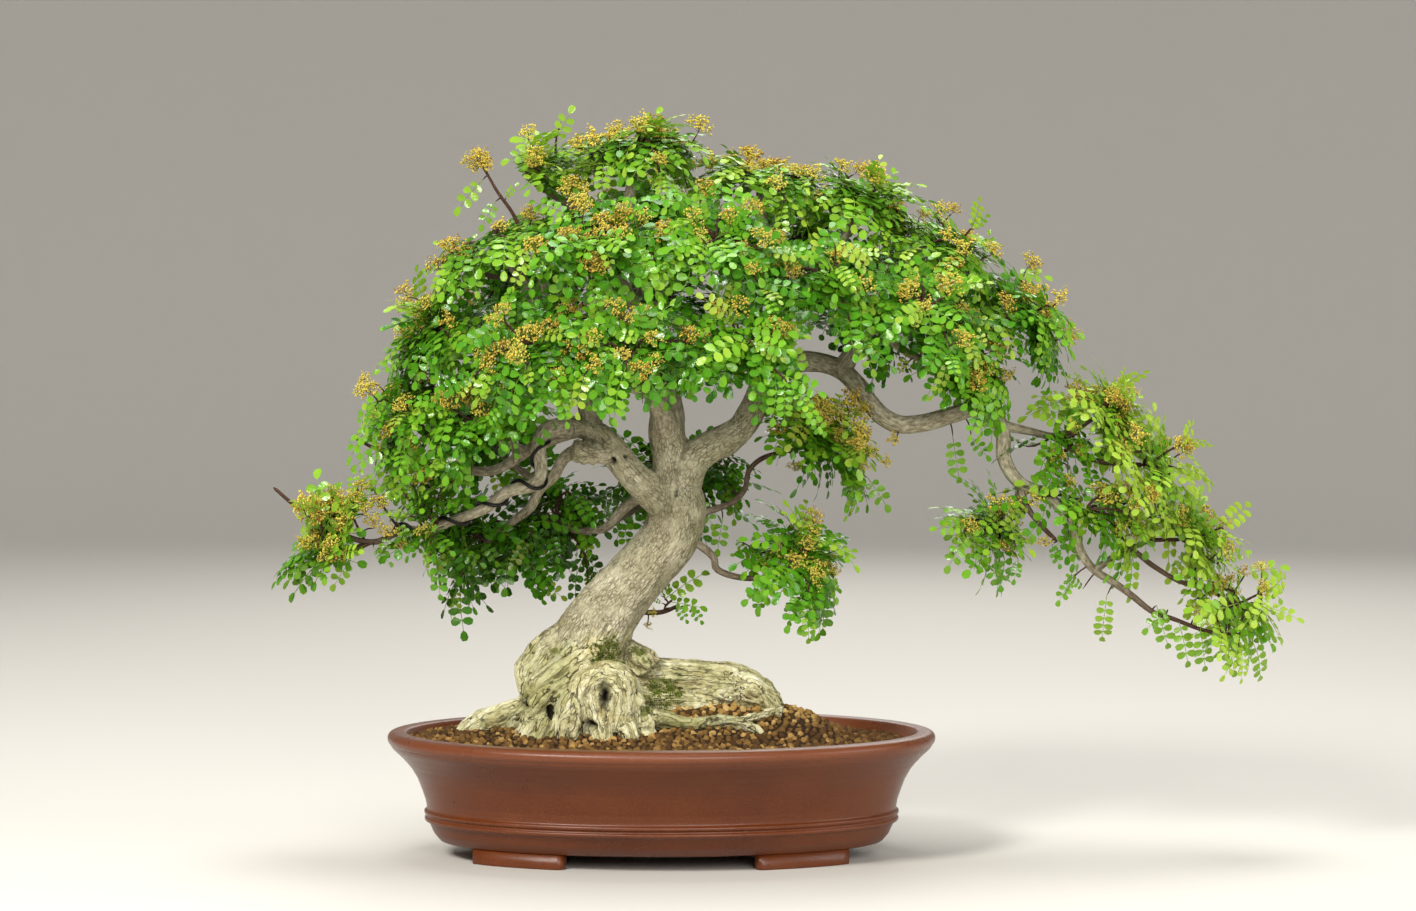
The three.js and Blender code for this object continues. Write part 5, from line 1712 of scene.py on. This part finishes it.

# Single leaves that stand out from the clumps: x and z of the foot, x and z of the tip, y, tone with
# painted light and shade, youth
loneLeaves = [
    [-140, 540, -162, 514, -40, 0.62, 0.35], [-130, 523, -142, 501, -44, 0.5, 0.2],
    [-122, 526, -112, 537, -44, 0.6, 0.4], [-158, 484, -179, 492, -30, 0.6, 0.3],
    [-157, 482, -146, 497, -30, 0.6, 0.3], [-151, 476, -170, 471, -34, 0.55, 0.2],
    [-84, 573, -70, 599, 0, 0.7, 0.4], [-18, 576, 0, 598, 0, 0.7, 0.4],
    [-23, 581, -37, 577, 0, 0.66, 0.3], [-86, 575, -119, 574, -10, 0.7, 0.4],
    [-96, 565, -126, 555, -20, 0.66, 0.3], [-176, 474, -191, 464, -40, 0.6, 0.3],
    [-205, 373, -233, 360, -40, 0.6, 0.2], [-212, 330, -248, 318, -40, 0.56, 0.2],
    [-217, 338, -244, 338, -36, 0.56, 0.2], [-203, 398, -225, 389, -40, 0.6, 0.2],
    [-250, 287, -272, 294, -30, 0.7, 0.5], [-244, 281, -260, 262, -36, 0.6, 0.3],
    [-230, 294, -237, 311, -30, 0.7, 0.5], [-217, 288, -200, 299, -34, 0.6, 0.3],
    [-208, 269, -197, 252, -36, 0.5, 0.2], [-262, 272, -281, 265, -30, 0.62, 0.4],
    [-234, 252, -254, 240, -30, 0.6, 0.3], [-245, 243, -276, 235, -30, 0.6, 0.4],
    [-246, 240, -262, 216, -32, 0.6, 0.4], [-228, 250, -213, 235, -34, 0.5, 0.2],
    [-254, 252, -269, 246, -28, 0.6, 0.4], [-216, 259, -222, 239, -36, 0.5, 0.2],
    [-272, 283, -286, 275, -30, 0.66, 0.5], [-199, 264, -181, 249, -30, 0.42, 0.1],
    [-175, 243, -180, 207, -32, 0.5, 0.1], [-151, 234, -153, 199, -34, 0.46, 0.1],
    [-127, 235, -130, 204, -34, 0.44, 0.1], [-106, 236, -103, 217, 20, 0.36, 0],
    [-92, 253, -86, 231, 30, 0.4, 0], [-165, 243, -143, 230, -30, 0.46, 0.1],
    [-183, 256, -197, 243, -30, 0.5, 0.2], [-145, 249, -134, 229, -30, 0.42, 0.1],
    [182, 530, 186, 551, 0, 0.6, 0.3], [263, 481, 261, 501, -20, 0.6, 0.3],
    [284, 467, 314, 463, -20, 0.66, 0.4], [304, 430, 336, 416, -20, 0.6, 0.3],
    [134, 491, 171, 469, -110, 0.86, 0.75], [189, 387, 196, 403, -110, 0.9, 0.95],
    [237, 384, 241, 403, -100, 0.95, 1], [252, 407, 248, 424, -100, 0.92, 0.95],
    [196, 423, 199, 440, -112, 0.8, 0.9], [372, 355, 410, 334, -10, 0.8, 0.55],
    [367, 366, 383, 369, -10, 0.7, 0.4], [348, 369, 339, 382, -8, 0.66, 0.4],
    [393, 297, 438, 289, -8, 0.66, 0.4], [404, 287, 434, 271, -14, 0.6, 0.3],
    [418, 277, 468, 251, -10, 0.6, 0.3], [413, 271, 429, 242, -14, 0.55, 0.3],
    [389, 271, 387, 239, -16, 0.5, 0.2], [365, 287, 363, 255, -20, 0.5, 0.1],
    [349, 303, 338, 277, -20, 0.5, 0.1], [325, 311, 319, 287, -20, 0.45, 0.1],
    [317, 334, 309, 311, -16, 0.5, 0.1], [467, 227, 502, 232, -8, 0.62, 0.4],
    [482, 225, 494, 204, -10, 0.6, 0.4], [447, 238, 470, 245, -8, 0.6, 0.4],
    [457, 182, 504, 184, -8, 0.6, 0.35], [452, 187, 480, 197, -6, 0.6, 0.35],
    [356, 210, 350, 166, -12, 0.62, 0.4], [396, 202, 404, 164, -10, 0.6, 0.3],
    [414, 189, 420, 151, -10, 0.56, 0.3], [431, 184, 434, 146, -10, 0.56, 0.3],
    [450, 181, 458, 143, -10, 0.6, 0.3], [471, 178, 490, 136, -8, 0.6, 0.35],
    [405, 199, 385, 180, -12, 0.5, 0.2], [427, 206, 443, 197, -6, 0.55, 0.3],
    [258, 268, 225, 247, -24, 0.55, 0.3], [242, 257, 226, 230, -24, 0.5, 0.2],
    [260, 238, 271, 214, -24, 0.45, 0.1], [269, 271, 256, 285, -22, 0.5, 0.2],
    [328, 223, 316, 202, -10, 0.5, 0.2], [337, 215, 324, 227, -10, 0.5, 0.2],
    [285, 239, 280, 220, -22, 0.4, 0.1], [277, 271, 293, 282, -22, 0.45, 0.1],
    [311, 251, 318, 232, -20, 0.45, 0.1], [233, 336, 236, 298, -6, 0.6, 0.2],
    [248, 336, 262, 318, -4, 0.5, 0.1], [165, 304, 182, 277, -10, 0.5, 0.2],
    [147, 310, 151, 286, -10, 0.45, 0.1], [134, 216, 124, 177, -14, 0.42, 0.1],
    [133, 242, 156, 246, -14, 0.7, 0.3], [78, 216, 77, 194, -14, 0.42, 0.1],
    [126, 223, 144, 212, -14, 0.45, 0.1], [103, 210, 101, 189, -14, 0.4, 0.1],
    [2, 205, 38, 228, 10, 0.6, 0.35], [8, 203, 36, 197, 8, 0.5, 0.2], [12, 200, 21, 186, 6, 0.42, 0.1],
    [0, 202, -9, 207, 8, 0.5, 0.3], [23, 200, 33, 185, 8, 0.44, 0.1], [-1, 208, 12, 218, 12, 0.6, 0.4],
    [31, 285, 42, 261, 14, 0.6, 0.2], [49, 269, 44, 240, 14, 0.6, 0.2],
    [60, 253, 69, 240, 12, 0.5, 0.1], [52, 309, 65, 296, 10, 0.5, 0.1],
]
# Flower clusters on the outline and on thin shoots: x, y, z, size
loneFlowers = [
    [-141, -52, 556, 1.1], [-147, -50, 550, 0.8], [-135, -56, 551, 0.8], [-69, -60, 537, 1],
    [-74, -62, 532, 0.9], [-61, -60, 532, 0.9], [-42, -10, 574, 0.9], [-5, 0, 583, 0.6],
    [-271, -32, 286, 0.9], [-258, -38, 275, 0.9], [-237, -34, 299, 0.9], [-224, -38, 285, 1.1],
    [-215, -38, 262, 1], [-227, -38, 269, 1], [-242, -36, 289, 1], [-283, -30, 287, 0.7],
    [-249, -36, 266, 0.8], [-233, -40, 279, 1], [-206, -36, 252, 0.7], [-12, 4, 186, 0.5],
    [-7, 6, 196, 0.6], [343, -14, 368, 1.2], [356, -14, 371, 1.1], [332, -14, 366, 1],
    [365, -14, 363, 0.9], [356, -26, 287, 1.2], [367, -26, 297, 1], [347, -26, 295, 1],
    [403, -18, 276, 1], [413, -18, 269, 1], [397, -16, 287, 1], [479, -8, 234, 0.8],
    [466, -10, 229, 0.8], [455, -10, 224, 0.7], [426, -10, 197, 0.8], [441, -10, 186, 0.7],
    [275, -26, 249, 0.9], [306, -24, 254, 0.8], [288, -26, 257, 0.8], [94, -60, 342, 1],
    [119, -70, 332, 1.2], [137, -70, 338, 1.2], [153, -66, 332, 1.1], [164, -60, 325, 1],
    [125, -74, 321, 1], [145, -70, 318, 1.1], [186, -60, 335, 0.9], [179, -50, 318, 0.8],
    [130, -60, 349, 1], [160, -60, 313, 0.9], [107, -40, 312, 0.8], [94, -24, 246, 1],
    [110, -26, 240, 1.1], [128, -24, 238, 1], [87, -24, 235, 0.8], [139, -20, 230, 0.8],
]
# Thin twigs that carry some of them
loneTwigs = [
    [[-120, -26, 462, 1.4], [-142, -30, 468, 1.1], [-160, -30, 484, 0.7]],
    [[-62, -50, 488, 1.3], [-67, -58, 506, 1.1], [-70, -60, 532, 0.7]],
    [[-84, 0, 548, 1.2], [-84, 0, 572, 0.9], [-80, 0, 588, 0.6]],
    [[-20, 0, 548, 1.2], [-17, 0, 574, 0.9], [-14, 0, 588, 0.6]],
    [[14, 12, 198, 1.2], [2, 10, 198, 1.1], [10, 10, 206, 0.8]],
    [[-226, -27, 254, 1.5], [-242, -30, 250, 1.1], [-258, -30, 240, 0.6]],
    [[-206, -28, 262, 1.4], [-216, -32, 276, 1.0], [-228, -32, 296, 0.6]],
    [[-236, -27, 256, 1.4], [-244, -32, 276, 1.0], [-240, -32, 298, 0.6]],
]


sprayLook = {
    "fullTie": 22,  # a longer tie to the wood is reported
    "frontLimit": 148, "nearWood": 9,  # how far feet may lie from the middle and from the wood
}


def growSprays():
    # the single leaves and flowers, each tied to the wood beside it
    leaves, flowers, twigs = Spots(), Spots(), Part()
    for number, route in enumerate(loneTwigs):
        woodSpots.append(addTube(twigs, route, 6, 3.0, rough=0.2, seed=number + 90)[0])
    wood = np.concatenate(woodSpots)
    lengths = [leafLook["stalk"] + pairs * leafLook["pairGap"] + 8 for pairs in leafLook["pairs"]]
    rng = random.Random(77)

    def besides(x, y, z):
        # the spot moved in depth until it is close to the wood behind or before it
        flat = np.hypot(wood[:, 0] - x, wood[:, 2] - z) + 0.12 * np.abs(wood[:, 1] - y)
        near = wood[flat.argmin()][1]
        slack, limit = sprayLook["nearWood"], sprayLook["frontLimit"]
        return np.array([x, np.clip(near + np.clip(y - near, -slack, slack), -limit, limit), z],
                        dtype=float)

    def tied(kind, foot):
        gap = tie(twigs, foot, wood)
        if gap > sprayLook["fullTie"]:
            print("far", kind, foot.round(), round(gap))

    for x, z, tipX, tipZ, y, tone, young in loneLeaves:
        ahead = np.array([tipX - x, rng.uniform(-6, 3), tipZ - z], dtype=float)
        length = np.linalg.norm(ahead)
        pick = int(np.argmin([abs(length / full - 0.86) for full in lengths]))
        level = 0.25 + 0.6 * abs(ahead[0]) / length
        foot = besides(x, y, z)
        tied("leaf", foot)
        leaves.add(foot, ahead, [rng.uniform(-0.2, 0.2), -1.0, level], length / lengths[pick],
                   pick, tone, young)
    for x, y, z, size in loneFlowers:
        rise = unit(np.array([rng.uniform(-0.4, 0.4), -0.5, 1.0]))
        foot = besides(x, y, z - 4)
        tied("flower", foot)
        flowers.add(foot, np.cross(rise, [1.0, 0.1, 0]), rise, size,
                    rng.randrange(leafLook["panicles"]), rng.random())
    attach(leaves.grow("leavesLone", leafShapes, leafFinish), "leaves")
    attach(makeObject(twigs.mesh("twigsLone"), branchBark), "bark")
    return flowers


def growCanopy():
    groups = {"flower_top": Spots(), "flower_inner_right": Spots(), "flower_top_left_shoot": Spots()}
    extra = {"flowersFront": Spots(), "flowersCascade": Spots(), "flowersRear": Spots()}
    for node, look in clumps.items():
        found = growClump(node, look)
        if not found:
            continue
        if "cascade" in node:
            group = extra["flowersCascade"]
        elif node.startswith("rear"):
            group = extra["flowersRear"]
        elif node in ("inner_right", "low_right"):
            group = groups["flower_inner_right"]
        elif "top" in node or node in ("apex", "shoulder"):
            group = groups["flower_top"]
        else:
            group = extra["flowersFront"]
        for key in ("places", "turns", "sizes", "picks", "tones", "young"):
            getattr(group, key).extend(getattr(found, key))
    tip, _ = boxOf("flower_top_left_shoot")
    for k, (dx, dz) in enumerate(((0, -4), (-6, -1), (5, -2), (0, 3))):
        groups["flower_top_left_shoot"].add(tip + np.array([dx, 0, dz - 5]), [0.1 * dx, 1, 0],
                                            [0.12 * dx, -0.3, 1], 0.8, k, 0.5)
    extra["flowersLone"] = growSprays()
    for node, spots in groups.items():
        name = inCamel("flowers", node.split("_")[1:])
        attach(spots.grow(name, flowerShapes, flowerFinish), "flowers", node)
    for name, spots in extra.items():
        attach(spots.grow(name, flowerShapes, flowerFinish), "flowers")
    emptied(leafShapes)
    emptied(flowerShapes)
    print("canopy grown")


growCanopy()
